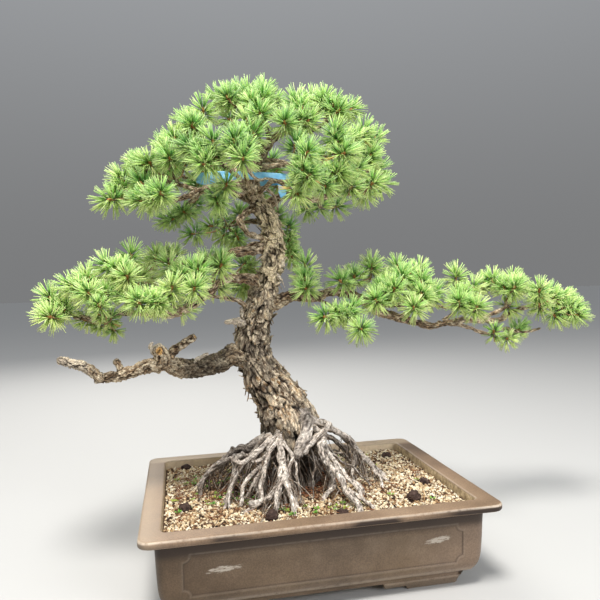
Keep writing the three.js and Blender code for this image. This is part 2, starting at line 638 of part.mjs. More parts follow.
function lumpSolid([x, y, width, height, seed], extra = 0) {
  const random = randomStream(seed * 1009);
  const sides = 6;
  const profile = [[0.66, 0], [1, 0.36], [0.42, 1]];
  const rings = profile.map(([spread, level], i) => {
    const ring = [];
    const lift = (i - 1) * extra;
    for (let k = 0; k < sides; k += 1) {
      const angle = (2 * Math.PI * (k + 0.3 * i)) / sides;
      const radius = (width / 2) * spread * (0.86 + 0.28 * random()) + extra;
      ring.push(new THREE.Vector3(
        x + radius * Math.cos(angle),
        y + radius * Math.sin(angle),
        soilHeight(x, y) - LUMP_SUNK + level * height + lift,
      ));
    }
    return ring;
  });
  return loft(rings);
}

// Strap of pale blue plastic looped round the crown's limbs, its loose end hanging at the right
const STRAP = {
  centre: [-72, -2, 549],
  halfX: 68,
  halfY: 30,
  steps: 14,
  tail: [[-28, 552], [-28, 525], [-22, 519], [-17, 526], [-17, 552]],
  tailY: -23.5,
};

function strapSolid() {
  const { centre, halfX, halfY, steps } = STRAP;
  const rings = [];
  for (let i = 0; i < steps; i += 1) {
    const angle = (2 * Math.PI * i) / steps;
    const out = new THREE.Vector3(Math.cos(angle) * halfY, Math.sin(angle) * halfX, 0).normalize();
    const middle = new THREE.Vector3(halfX * Math.cos(angle), halfY * Math.sin(angle), 0).add(vec(centre));
    const corner = (side, up) => middle.clone()
      .addScaledVector(out, (side * STRAP_THICKNESS) / 2).setZ(centre[2] + (up * STRAP_HEIGHT) / 2);
    rings.push([corner(-1, -1), corner(1, -1), corner(1, 1), corner(-1, 1)]);
  }
  return loft(rings, true).add(prism(STRAP.tail, 'y', STRAP.tailY - 1, STRAP.tailY + 1));
}

// Needles: each tuft's bud has its faces drawn out into three-sided needles

const obstacles = [];

function addObstacle(a, b, ra, rb, owner) {
  obstacles.push({ a, b, ra, rb, owner, middle: a.clone().lerp(b, 0.5), half: a.distanceTo(b) / 2 });
}

// The closest points of two segments, as their distance and the place along each
function closest(p, q, a, b) {
  const d1 = q.clone().sub(p);
  const d2 = b.clone().sub(a);
  const r = p.clone().sub(a);
  const len1 = d1.dot(d1);
  const len2 = d2.dot(d2);
  const f = d2.dot(r);
  const c = d1.dot(r);
  const cross = d1.dot(d2);
  const spread = len1 * len2 - cross * cross;
  let s = spread > 1e-9 ? THREE.MathUtils.clamp((cross * f - c * len2) / spread, 0, 1) : 0;
  let t = (cross * s + f) / len2;
  if (t < 0) {
    t = 0;
    s = THREE.MathUtils.clamp(-c / len1, 0, 1);
  } else if (t > 1) {
    t = 1;
    s = THREE.MathUtils.clamp((cross - c) / len1, 0, 1);
  }
  const distance = p.clone().addScaledVector(d1, s).distanceTo(a.clone().addScaledVector(d2, t));
  return { distance, s, t };
}

const NEEDLE_FOOT_RADIUS = 2.5;
const NEEDLE_TIP_RADIUS = 0.15;
const SHARED_FOOT = 0.3;

// True when a needle from foot to end keeps its distance from what stands near it.
// Near its foot a needle may touch the others of its own bud.
function isClear(foot, end, near, owner) {
  return near.every((other) => {
    const { distance, s, t } = closest(foot, end, other.a, other.b);
    if (other.owner === owner && s < SHARED_FOOT) return true;
    const here = THREE.MathUtils.lerp(NEEDLE_FOOT_RADIUS, NEEDLE_TIP_RADIUS, s);
    const there = THREE.MathUtils.lerp(other.ra, other.rb, t);
    return distance > here + there + GAP;
  });
}

// The wood, the strap and every shoot stand first; needles then find their way between them.
function placeFixedObstacles() {
  const woodRuns = [TRUNK, BARE_BRANCH, ...DEAD_STUBS, ...Object.values(LIMBS)];
  woodRuns.push(...sprayPlans.map((plan) => plan.twig));
  woodRuns.forEach((run) => {
    const samples = sampleRun(run, 1);
    for (let i = 1; i < samples.length; i += 1) {
      const [low, high] = [samples[i - 1], samples[i]];
      addObstacle(low.centre, high.centre, low.radius * 1.08, high.radius * 1.08, 'wood');
    }
  });
  const { centre, halfX, halfY, steps } = STRAP;
  const onStrap = (i, z) => {
    const angle = (2 * Math.PI * i) / steps;
    return new THREE.Vector3(centre[0] + halfX * Math.cos(angle), centre[1] + halfY * Math.sin(angle), z);
  };
  for (let i = 0; i < steps; i += 1) {
    for (const lift of [-4.5, -1.5, 1.5, 4.5]) {
      const z = centre[2] + lift;
      addObstacle(onStrap(i, z), onStrap(i + 1, z), 2.2, 2.2, 'strap');
    }
  }
  for (const x of [-26, -22.5, -19]) {
    const y = STRAP.tailY;
    addObstacle(new THREE.Vector3(x, y, 548), new THREE.Vector3(x, y, 522), 2.6, 2.6, 'strap');
  }
  sprayPlans.forEach((plan) => {
    const stubStart = plan.hub.clone().addScaledVector(plan.lead, -STUB_LENGTH);
    addObstacle(stubStart, plan.hub, SHOOT_RADIUS, SHOOT_RADIUS, plan.name);
    plan.tufts.forEach((tuft) => {
      addObstacle(plan.hub, tuft.point, SHOOT_RADIUS, BUD_RADIUS, tuft);
      const cap = tuft.point.clone().addScaledVector(tuft.axis, BUD_BAND + BUD_CAP);
      addObstacle(tuft.point, cap, BUD_RADIUS, 1, tuft);
    });
  });
}

// The bud on its shoot: a ring at the shoot's tip, a turned ring above it and a pole.
// The shoot's five sides run back to a point inside the twig.
function budMesh(plan, tuft) {
  const { point, axis } = tuft;
  const side = perpendicular(axis);
  const across = axis.clone().cross(side);
  const ring = (centre, radius, phase) => Array.from({ length: NEEDLES_AROUND }, (_, k) => {
    const angle = (2 * Math.PI * (k + phase)) / NEEDLES_AROUND;
    return centre.clone().addScaledVector(side, radius * Math.cos(angle))
      .addScaledVector(across, radius * Math.sin(angle));
  });
  const above = point.clone().addScaledVector(axis, BUD_BAND);
  const pole = point.clone().addScaledVector(axis, BUD_BAND + BUD_CAP);
  const points = [
    ...ring(point, BUD_RADIUS, 0),
    ...ring(above, BUD_RADIUS, 0.5),
    pole,
    plan.hub,
  ];
  const n = NEEDLES_AROUND;
  const plain = [];
  const faces = [];
  for (let k = 0; k < n; k += 1) {
    const next = (k + 1) % n;
    plain.push([k, 2 * n + 1, next]);
    const low = { corners: [k, next, n + k], polar: 1.66, azimuth: k + 0.5, layer: 0 };
    if (k % 2 === 0) faces.push(low);
    else plain.push(low.corners);
    faces.push({ corners: [n + k, next, n + next], polar: 1.12, azimuth: k + 1, layer: 1 });
    faces.push({ corners: [n + k, n + next, 2 * n], polar: 0.5, azimuth: k + 1, layer: 2 });
  }
  faces.forEach((face) => {
    face.azimuth *= (2 * Math.PI) / n;
    face.foot = meanPoint(face.corners.map((i) => points[i].toArray()));
  });
  return { points, plain, faces, side, across };
}

// The bends and the shortened lengths that a needle tries, in order, until it stands clear
const BENDS = [[0, 0]];
for (const tilt of [0.2, 0.38]) {
  for (let k = 0; k < 6; k += 1) BENDS.push([tilt, (k * Math.PI) / 3]);
}
const SHORTER = [1, 0.86, 0.72, 0.58, 0.44, 0.32];

function needleEnd(tuft, face, jitter, bend, length) {
  const polar = face.polar + jitter[0] + bend[0] * Math.cos(bend[1]);
  const sideways = jitter[1] + bend[0] * Math.sin(bend[1]);
  const azimuth = face.azimuth + sideways / Math.max(Math.sin(polar), 0.5);
  const { side, across } = tuft.mesh;
  const direction = tuft.axis.clone().multiplyScalar(Math.cos(polar))
    .addScaledVector(side, Math.sin(polar) * Math.cos(azimuth))
    .addScaledVector(across, Math.sin(polar) * Math.sin(azimuth));
  return face.foot.clone().addScaledVector(direction, length);
}

function growNeedle(tuft, face, random) {
  const jitter = [0.16 * (random() - 0.5), 0.16 * (random() - 0.5)];
  const full = NEEDLE_LENGTH * (0.94 + 0.12 * random()) * (face.layer === 0 ? 0.92 : 1);
  const reach = full + 4;
  const near = obstacles.filter((other) => (
    other.middle.distanceTo(face.foot) < reach + other.half + 8));
  for (const share of SHORTER) {
    for (const bend of BENDS) {
      const end = needleEnd(tuft, face, jitter, bend, full * share);
      if (isClear(face.foot, end, near, tuft)) {
        addObstacle(face.foot, end, NEEDLE_FOOT_RADIUS, NEEDLE_TIP_RADIUS, tuft);
        face.end = end;
        return;
      }
    }
  }
}

function growAllNeedles() {
  placeFixedObstacles();
  const random = randomStream(1234);
  const tufts = sprayPlans.flatMap((plan) => plan.tufts.map((tuft) => ({ plan, tuft })));
  tufts.forEach(({ plan, tuft }) => {
    tuft.mesh = budMesh(plan, tuft);
  });
  for (const layer of [2, 1, 0]) {
    tufts.forEach(({ tuft }) => {
      tuft.mesh.faces.filter((face) => face.layer === layer)
        .forEach((face) => growNeedle(tuft, face, random));
    });
  }
}

function tuftSolid(tuft) {
  const points = [...tuft.mesh.points];
  const triangles = [...tuft.mesh.plain];
  tuft.mesh.faces.forEach(({ corners: [a, b, c], end }) => {
    if (!end) {
      triangles.push([a, b, c]);
      return;
    }
    const tip = points.push(end) - 1;
    triangles.push([a, b, tip], [b, c, tip], [c, a, tip]);
  });
  return solidOf(points, triangles);
}

function spraySolid(plan) {
  const stubStart = plan.hub.clone().addScaledVector(plan.lead, -STUB_LENGTH);
  const stubEnd = plan.hub.clone().addScaledVector(plan.lead, 0.8);
  const stub = [stubStart, stubEnd].map((end) => [...end.toArray(), STUB_DIAMETER]);
  return joined([limbSolid(stub, 4, 1), ...plan.tufts.map(tuftSolid)]);
}

// Materials

const MATERIALS = {
  stoneware: { color: 0x6f5f50, roughness: 0.62 },
  grit: { color: 0xb9a27e, roughness: 0.95 },
  bark: { color: 0x77644c, roughness: 0.92 },
  needle: { color: 0x74a54c, roughness: 0.55 },
  feed: { color: 0x3b2f28, roughness: 0.9 },
  strap: { color: 0x59a6d8, roughness: 0.45 },
  screen: { color: 0x24282a, roughness: 0.6 },
};

const bonsai = new THREE.Group();

function place(name, solid, material) {
  const mesh = new THREE.Mesh(
    geometryOf(solid),
    new THREE.MeshStandardMaterial({ metalness: 0, flatShading: true, ...MATERIALS[material] }),
  );
  mesh.name = name;
  bonsai.add(mesh);
}

growAllNeedles();
place('pot', potSolid(), 'stoneware');
place('drain_screen_left', screenSolid(-1), 'screen');
place('drain_screen_right', screenSolid(1), 'screen');
place('soil', soilSolid(), 'grit');
place('tree', treeSolid(), 'bark');
place('label_strap', strapSolid(), 'strap');
LUMPS.forEach((lump, i) => place(`feed_lump_${i + 1}`, lumpSolid(lump), 'feed'));
sprayPlans.forEach((plan) => place(`needles_${plan.name}`, spraySolid(plan), 'needle'));

// The part's origin is the middle of its whole footprint, on the surface it stands on.
const bounds = new THREE.Box3().setFromObject(bonsai);
const footprint = bounds.getCenter(new THREE.Vector3());
bonsai.children.forEach((mesh) => mesh.position.set(-footprint.x, -footprint.y, 0));

export default bonsai;
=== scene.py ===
import bpy
import numpy as np
from mathutils import Matrix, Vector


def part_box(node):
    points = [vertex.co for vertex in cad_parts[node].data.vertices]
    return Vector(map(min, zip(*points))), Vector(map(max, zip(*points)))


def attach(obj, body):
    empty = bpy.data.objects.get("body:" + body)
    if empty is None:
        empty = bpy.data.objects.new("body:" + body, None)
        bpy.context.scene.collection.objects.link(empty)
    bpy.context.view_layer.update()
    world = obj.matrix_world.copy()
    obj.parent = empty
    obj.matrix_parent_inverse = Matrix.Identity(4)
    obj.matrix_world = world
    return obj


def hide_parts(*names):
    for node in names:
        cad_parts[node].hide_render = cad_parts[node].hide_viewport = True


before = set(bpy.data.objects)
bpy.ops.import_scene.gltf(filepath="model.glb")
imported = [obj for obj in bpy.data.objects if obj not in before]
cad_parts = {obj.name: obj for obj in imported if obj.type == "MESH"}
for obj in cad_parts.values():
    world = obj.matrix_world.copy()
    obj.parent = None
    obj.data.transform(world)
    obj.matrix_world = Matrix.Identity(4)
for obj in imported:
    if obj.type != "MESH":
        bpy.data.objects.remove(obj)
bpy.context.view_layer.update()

metre = 0.001
potLow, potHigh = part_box("pot")
potMiddle = np.array([(potLow.x + potHigh.x) / 2, (potLow.y + potHigh.y) / 2, potLow.z])

# Camera and studio

view = {
    "lens": 36.0,
    "sensor": 36.0,
    "place": (-172.3, -854.0, 393.9),
    "yaw": 11.61,  # degrees to the right of straight ahead
    "pitch": -1.24,
    "roll": -1.56,
}


def unit(vectors):
    return vectors / np.maximum(np.linalg.norm(vectors, axis=-1, keepdims=True), 1e-9)


def spun(angle, side, across):
    # Directions at an angle between two others: cos(angle) side + sin(angle) across.
    return np.cos(angle) * side + np.sin(angle) * across


def putUp(name, data, axes, place):
    # An object whose own X, Y and Z run along the given axes, standing at the place.
    holder = bpy.data.objects.new(name, data)
    turned = np.eye(4)
    turned[:3, :3] = np.stack(axes, axis=1)
    turned[:3, 3] = place
    holder.matrix_world = Matrix(turned.tolist())
    bpy.context.scene.collection.objects.link(holder)
    return holder


def setCamera():
    # Turned right by the yaw, then up by the pitch, then about its own axis by the roll.
    yaw, pitch, roll = np.radians([view["yaw"], view["pitch"], view["roll"]])
    ahead = np.array([np.sin(yaw) * np.cos(pitch), np.cos(yaw) * np.cos(pitch), np.sin(pitch)])
    level = np.array([np.cos(yaw), -np.sin(yaw), 0.0])
    upright = np.cross(level, ahead)
    data = bpy.data.cameras.new("photoCamera")
    data.lens = view["lens"]
    data.sensor_width = view["sensor"]
    right = spun(roll, level, upright)
    up = spun(roll, upright, -level)
    place = np.array(view["place"]) * metre + potMiddle
    bpy.context.scene.camera = putUp("photoCamera", data, (right, up, -ahead), place)


studio = {
    "horizon": (0.2, 0.203, 0.206),
    "zenith": (0.5, 0.52, 0.55),
    "floor": (0.5, 0.5, 0.49),
    "floorSize": 60.0,
    "floorRoughness": 0.8,
    "aim": (0.0, 0.0, 0.35),  # the lamps point here
    # name: place in metres, size in metres, watts, colour
    "lamps": {
        "keyLamp": ((-0.5, -1.15, 2.6), 0.8, 94.0, (1.0, 0.97, 0.93)),
        "fillLamp": ((1.3, -2.1, 1.2), 1.2, 36.0, (0.95, 0.97, 1.0)),
        "backLamp": ((-0.5, 1.9, 1.8), 1.4, 34.0, (1.0, 0.97, 0.92)),
    },
}


def setStudio():
    # A sky that lightens upwards, three round lamps that face the aim, and a square floor.
    world = bpy.data.worlds.new("studioSky")
    world.use_nodes = True
    tree = world.node_tree
    direction = tree.nodes.new("ShaderNodeTexCoord")
    split = tree.nodes.new("ShaderNodeSeparateXYZ")
    tree.links.new(direction.outputs["Generated"], split.inputs["Vector"])
    sky = tree.nodes.new("ShaderNodeValToRGB")
    sky.color_ramp.interpolation = "EASE"
    for element, end in zip(sky.color_ramp.elements, ("horizon", "zenith")):
        element.color = (*studio[end], 1.0)
    tree.links.new(split.outputs["Z"], sky.inputs["Fac"])
    tree.links.new(sky.outputs["Color"], tree.nodes["Background"].inputs["Color"])
    bpy.context.scene.world = world
    bpy.context.scene.view_settings.view_transform = "Standard"
    for name, (place, size, watts, colour) in studio["lamps"].items():
        lamp = bpy.data.lights.new(name, "AREA")
        lamp.shape = "DISK"
        lamp.size = size
        lamp.energy = watts
        lamp.color = colour
        back = unit(np.subtract(place, studio["aim"]))
        right = unit(np.cross([0.0, 0.0, 1.0], back))
        putUp(name, lamp, (right, np.cross(back, right), back), place)
    half = studio["floorSize"] / 2
    mesh = bpy.data.meshes.new("studioFloor")
    corners = [(-half, -half, 0), (half, -half, 0), (half, half, 0), (-half, half, 0)]
    mesh.from_pydata(corners, [], [(0, 1, 2, 3)])
    floor = bpy.data.objects.new("studioFloor", mesh)
    bpy.context.scene.collection.objects.link(floor)
    paint = bpy.data.materials.new("paleFloor")
    paint.use_nodes = True
    shader = paint.node_tree.nodes["Principled BSDF"]
    shader.inputs["Base Color"].default_value = (*studio["floor"], 1.0)
    shader.inputs["Roughness"].default_value = studio["floorRoughness"]
    mesh.materials.append(paint)


setCamera()
setStudio()
print("camera and studio set")

# Noise worked out on whole arrays


def scatter(seed, *cells):
    # A repeatable number from 0 to 1 for each cell: its whole numbers times large primes, mixed by
    # shifts and exclusive or, and cut to their lowest bits.
    mixed = np.full(np.shape(cells[0]), seed * 83492791, dtype=np.int64)
    for cell, prime in zip(cells, (73856093, 19349663, 50331653)):
        mixed = mixed ^ (np.asarray(cell).astype(np.int64) * prime)
    mixed = (mixed ^ (mixed >> 13)) * 1274126177
    mixed = (mixed ^ (mixed >> 16)) * 668265263
    mixed = mixed ^ (mixed >> 15)
    return (mixed & 0xFFFFFF) / float(0xFFFFFF)


def softNoise(x, y, z, seed):
    # Value noise from 0 to 1: the eight corner numbers of a cell blended by 3t^2 - 2t^3 each way.
    cell = [np.floor(value) for value in (x, y, z)]
    part = [value - low for value, low in zip((x, y, z), cell)]
    part = [t * t * (3 - 2 * t) for t in part]
    total = 0.0
    for corner in np.ndindex(2, 2, 2):
        share = 1.0
        for t, far in zip(part, corner):
            share = share * (t if far else 1 - t)
        total = total + share * scatter(seed, *(low + far for low, far in zip(cell, corner)))
    return total


def plates(x, y, z, seed):
    # Cell pattern from one point in each cell of a lattice: the distance to the second nearest point
    # less that to the nearest, the nearest one's own number, and the height above it.
    cell = [np.floor(value) for value in (x, y, z)]
    nearest = np.full(np.shape(x), 9.0)
    second = nearest.copy()
    tone, lean = np.zeros(np.shape(x)), np.zeros(np.shape(x))
    for steps in np.ndindex(3, 3, 3):
        spot = [low + step - 1 for low, step in zip(cell, steps)]
        px, py, pz = (low + 0.1 + 0.8 * scatter(seed + k, *spot) for k, low in enumerate(spot))
        distance = np.sqrt((x - px) ** 2 + (y - py) ** 2 + (z - pz) ** 2)
        nearer = distance < nearest
        second = np.where(nearer, nearest, np.minimum(second, distance))
        tone = np.where(nearer, scatter(seed + 3, *spot), tone)
        lean = np.where(nearer, z - pz, lean)
        nearest = np.where(nearer, distance, nearest)
    return second - nearest, tone, lean


def fade(value, low, high):
    # 0 below low, 1 above high, and 3t^2 - 2t^3 between them.
    t = np.clip((value - low) / (high - low), 0.0, 1.0)
    return t * t * (3 - 2 * t)


def bell(value, middle, width):
    # exp(-((value - middle) / width)^2): 1 at the middle, falling away over the width.
    return np.exp(-(((value - middle) / width) ** 2))


def turnAngles(count):
    return np.linspace(0, 2 * np.pi, count, endpoint=False)


def squareTo(direction):
    # Two unit directions at right angles to each given one and to each other.
    helper = np.where(np.abs(direction[:, 2:]) > 0.9, [[1.0, 0.0, 0.0]], [[0.0, 0.0, 1.0]])
    side = unit(np.cross(helper, direction))
    return side, np.cross(direction, side)


# Surfaces: gathered as arrays, then put into one mesh


class Surface:
    def __init__(self):
        self.points = []
        self.faces = []
        self.values = {}
        self.count = 0

    def add(self, points, faces, material=0, **values):
        # Values are one number for all the points or one each, and 0 for points that have none.
        points = np.asarray(points, dtype=float).reshape(-1, 3)
        for group in faces:
            self.faces.append((group + self.count, material))
        for name in sorted({*self.values, *values}):
            kept = self.values.setdefault(name, [np.zeros(self.count)] if self.count else [])
            value = np.asarray(values.get(name, 0.0), dtype=float)
            kept.append(np.broadcast_to(value.reshape(-1) if value.ndim else value, (len(points),)))
        self.points.append(points)
        self.count += len(points)

    def addTube(self, rings, **values):
        self.add(withMiddles(rings), tubeFaces(*rings.shape[:2]), **values)

    def addLoop(self, rings, **values):
        self.add(rings, loopFaces(*rings.shape[:2]), **values)


def makePiece(name, surface, materials, nodes=(), smooth=True):
    # One mesh from a surface's arrays, with its values as attributes, joined to the frame.
    points = np.concatenate(surface.points) * metre + potMiddle
    loops = np.concatenate([group.ravel() for group, _ in surface.faces])
    sizes = np.concatenate([np.full(len(group), group.shape[1]) for group, _ in surface.faces])
    paints = np.concatenate([np.full(len(group), paint) for group, paint in surface.faces])
    starts = np.concatenate([[0], np.cumsum(sizes)[:-1]])
    mesh = bpy.data.meshes.new(name)
    mesh.vertices.add(len(points))
    mesh.vertices.foreach_set("co", points.astype(np.float32).ravel())
    mesh.loops.add(len(loops))
    mesh.loops.foreach_set("vertex_index", loops.astype(np.int32))
    mesh.polygons.add(len(sizes))
    mesh.polygons.foreach_set("loop_start", starts.astype(np.int32))
    mesh.polygons.foreach_set("material_index", paints.astype(np.int32))
    mesh.polygons.foreach_set("use_smooth", np.full(len(sizes), smooth))
    for key, parts in surface.values.items():
        stored = mesh.attributes.new(key, "FLOAT", "POINT")
        stored.data.foreach_set("value", np.concatenate(parts).astype(np.float32))
    mesh.update(calc_edges=True)
    mesh.validate()
    for material in materials:
        mesh.materials.append(material)
    piece = bpy.data.objects.new(name, mesh)
    bpy.context.scene.collection.objects.link(piece)
    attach(piece, "root")
    if nodes:
        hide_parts(*nodes)


def roundSteps(count):
    # The corners of a ring, and for each the one after it.
    steps = np.arange(count)
    return steps, (steps + 1) % count


def ringQuads(rings, spans, around):
    # Quads between each ring and the next, for the given number of spans.
    ring, step = np.meshgrid(np.arange(spans), np.arange(around), indexing="ij")
    after = (step + 1) % around
    low, high = ring * around, ((ring + 1) % rings) * around
    return np.stack([low + step, low + after, high + after, high + step], axis=-1).reshape(-1, 4)


def tubeFaces(rings, around):
    # Quads between rings of equal count, and a fan to a middle point at each end. The two middle
    # points come after the rings' own.
    k, n = roundSteps(around)
    first = np.full(around, rings * around)
    top = (rings - 1) * around
    start = np.stack([first, n, k], axis=1)
    end = np.stack([first + 1, top + k, top + n], axis=1)
    return [ringQuads(rings, rings - 1, around), np.concatenate([start, end])]


def loopFaces(rings, around):
    # Quads between rings of equal count, the last ring joined to the first.
    return [ringQuads(rings, rings, around)]


def withMiddles(rings):
    # A stack of rings with the middle points of its first and last one added for their fans.
    return np.concatenate([rings.reshape(-1, 3), [rings[0].mean(axis=0)], [rings[-1].mean(axis=0)]])


def repeated(faces, count, stride):
    # The faces of one small shape, for count copies whose points follow each other.
    shift = (np.arange(count) * stride)[:, None, None]
    return [(group[None] + shift).reshape(-1, group.shape[1]) for group in faces]


# Curves: a run is [x, y, z, diameter], thick end first


def centripetal(run, cuts):
    # Centripetal Catmull-Rom curve through the run's points, its diameter blended evenly.
    run = np.asarray(run, dtype=float)
    points = run[:, :3]
    before = np.vstack([2 * points[0] - points[1], points[:-1]])[:-1]
    after = np.vstack([points[2:], 2 * points[-1] - points[-2]])
    start, end = points[:-1], points[1:]

    def knot(a, b):
        return np.maximum(np.linalg.norm(b - a, axis=1), 1e-4)[:, None] ** 0.5

    d0, d1, d2 = knot(before, start), knot(start, end), knot(end, after)
    leave = ((start - before) / d0 - (end - before) / (d0 + d1) + (end - start) / d1) * d1
    reach = ((end - start) / d1 - (after - start) / (d1 + d2) + (after - end) / d2) * d1
    t = (np.arange(cuts) / cuts)[None, :, None]
    a, b, c, d = (value[:, None, :] for value in (start, end, leave, reach))
    curve = a + c * t + (3 * b - 3 * a - 2 * c - d) * t**2 + (2 * a - 2 * b + c + d) * t**3
    width = run[:-1, None, 3:] + (run[1:, None, 3:] - run[:-1, None, 3:]) * t
    line = np.concatenate([curve, width], axis=2).reshape(-1, 4)
    return np.vstack([line, run[-1]])


def followRun(run, spacing):
    # Even stations along the run, with a frame carried along without twist.
    fine = centripetal(run, 12)
    lengths = np.concatenate([[0], np.cumsum(np.linalg.norm(np.diff(fine[:, :3], axis=0), axis=1))])
    count = max(int(round(lengths[-1] / spacing)), 3)
    along = np.linspace(0, lengths[-1], count + 1)
    line = np.stack([np.interp(along, lengths, fine[:, k]) for k in range(4)], axis=1)
    centre = line[:, :3]
    ahead = unit(np.gradient(centre, axis=0))
    helper = np.array([0.0, 0.0, 1.0]) if abs(ahead[0, 2]) < 0.9 else np.array([1.0, 0.0, 0.0])
    side = np.zeros_like(ahead)
    last = np.cross(helper, ahead[0])
    for i in range(len(ahead)):
        last = last - ahead[i] * np.dot(last, ahead[i])
        last = last / np.linalg.norm(last)
        side[i] = last
    return {
        "centre": centre,
        "radius": line[:, 3] / 2,
        "along": along,
        "side": side,
        "across": np.cross(ahead, side),
        "length": lengths[-1],
    }


def limbSurface(surface, run, spacing, around, relief, flare=0.0, rounded=True, **values):
    # A ring of the run's radius at each station plus relief(x, y, z), where x, y and z are the place
    # on the limb laid out straight. The foot flares out and the end is rounded off.
    line = followRun(run, spacing)
    angle = turnAngles(around)[None, :]
    radius = line["radius"][:, None]
    along = line["along"][:, None] * np.ones_like(angle)
    radius = radius * (1 + flare * np.exp(-along / (1.6 * line["radius"][0])))
    bark = relief(radius * np.cos(angle), radius * np.sin(angle), along)  # before the end is rounded
    if rounded:
        tip = line["radius"][-1]
        past = np.clip((along - (line["length"] - tip)) / tip, 0, 1)
        radius = radius * np.sqrt(np.maximum(1 - past**2, 0.05))
        bark["depth"] = bark["depth"] * (1 - 0.7 * past)
    grown = np.maximum(radius + bark.pop("depth"), 0.25)
    rings = line["centre"][:, None, :] + grown[..., None] * spun(
        angle[..., None], line["side"][:, None, :], line["across"][:, None, :])
    given = {}
    for name, value in {**bark, **values}.items():
        value = value(rings, along) if callable(value) else value
        value = np.broadcast_to(value, rings.shape[:2])
        given[name] = np.concatenate([value.ravel(), [value[0].mean(), value[-1].mean()]])
    given["runX"] = np.concatenate([(radius * np.cos(angle)).ravel(), [0, 0]])
    given["runY"] = np.concatenate([(radius * np.sin(angle)).ravel(), [0, 0]])
    given["runZ"] = np.concatenate([along.ravel(), [0, line["length"]]])
    surface.addTube(rings, **given)
    return rings


# Shader helpers


def tint(red, green, blue):
    # A colour read off a screen, 0 to 255, as linear light.
    value = np.array([red, green, blue]) / 255
    linear = np.where(value <= 0.04045, value / 12.92, ((value + 0.055) / 1.055) ** 2.4)
    return (*linear.tolist(), 1.0)


def addNode(tree, kind, sockets=None, **settings):
    made = tree.nodes.new(kind)
    for key, value in settings.items():
        setattr(made, key, value)
    for key, value in (sockets or {}).items():
        if isinstance(value, bpy.types.NodeSocket):
            tree.links.new(value, made.inputs[key])
        else:
            made.inputs[key].default_value = value
    return made


def maths(tree, operation, first, second=0.0, clamp=False):
    made = addNode(tree, "ShaderNodeMath", {0: first, 1: second}, operation=operation, use_clamp=clamp)
    return made.outputs[0]


def times(tree, first, second, clamp=False):
    return maths(tree, "MULTIPLY", first, second, clamp)


def mixture(tree, *parts):
    # The sum of value times share over the given pairs.
    total = 0.0
    for value, share in parts:
        total = maths(tree, "ADD", total, times(tree, value, share))
    return total


def ramp(tree, value, stops):
    # Each stop is a place from 0 to 1 and the red, green and blue of its colour, as for tint.
    made = addNode(tree, "ShaderNodeValToRGB", {"Fac": value})
    elements = made.color_ramp.elements
    while len(elements) < len(stops):
        elements.new(0.5)
    for element, (place, *colour) in zip(elements, stops):
        element.position = place
        element.color = tint(*colour)
    return made.outputs["Color"]


def blend(tree, share, first, second, kind="MIX"):
    made = addNode(tree, "ShaderNodeMix", {0: share, 6: first, 7: second},
                   data_type="RGBA", blend_type=kind)
    return made.outputs[2]


def shaded(tree, tone, value):
    # The colour times a plain value.
    grey = addNode(tree, "ShaderNodeCombineColor", {"Red": value, "Green": value, "Blue": value})
    return blend(tree, 1.0, tone, grey.outputs["Color"], kind="MULTIPLY")


def between(tree, value, low, high, start=0.0, end=1.0):
    made = addNode(tree, "ShaderNodeMapRange", {
        "Value": value, "From Min": low, "From Max": high, "To Min": start, "To Max": end})
    return made.outputs["Result"]


def attribute(tree, name):
    return addNode(tree, "ShaderNodeAttribute", attribute_name=name).outputs["Fac"]


def noise(tree, place, scale, detail, roughness=0.5):
    return addNode(tree, "ShaderNodeTexNoise", {
        "Vector": place, "Scale": scale, "Detail": detail, "Roughness": roughness}).outputs


def laidOut(tree, around, along):
    # The place on the limb laid out straight, scaled round it and along it.
    return addNode(tree, "ShaderNodeCombineXYZ", {
        axis: times(tree, attribute(tree, f"run{axis}"), scale)
        for axis, scale in (("X", around), ("Y", around), ("Z", along))}).outputs["Vector"]


def ownPlace(tree):
    # The place in the piece's own space, whole and split into X, Y and Z.
    place = addNode(tree, "ShaderNodeTexCoord").outputs["Object"]
    return place, addNode(tree, "ShaderNodeSeparateXYZ", {"Vector": place}).outputs


def makeGroup(name, inputs, outputs):
    # A node group with the given numbers in and values out, and its two end nodes' sockets.
    group = bpy.data.node_groups.new(name, "ShaderNodeTree")
    for label, value in inputs.items():
        socket = group.interface.new_socket(name=label, in_out="INPUT", socket_type="NodeSocketFloat")
        socket.default_value = value
    for label in outputs:
        group.interface.new_socket(name=label, in_out="OUTPUT", socket_type="NodeSocketFloat")
    entry = group.nodes.new("NodeGroupInput")
    leave = group.nodes.new("NodeGroupOutput")
    return group, entry.outputs, leave.inputs


def useGroup(tree, group, **values):
    return addNode(tree, "ShaderNodeGroup", values, node_tree=group).outputs


def mottleGroup():
    # Broad patches and fine speckle in the piece's own space.
    group, given, out = makeGroup("mottle", {"Patch": 18.0, "Speckle": 240.0}, ("Patches", "Speckles"))
    place = addNode(group, "ShaderNodeTexCoord").outputs["Object"]
    group.links.new(noise(group, place, given["Patch"], 4.0, 0.6)["Fac"], out["Patches"])
    group.links.new(noise(group, place, given["Speckle"], 3.0, 0.7)["Fac"], out["Speckles"])
    return group


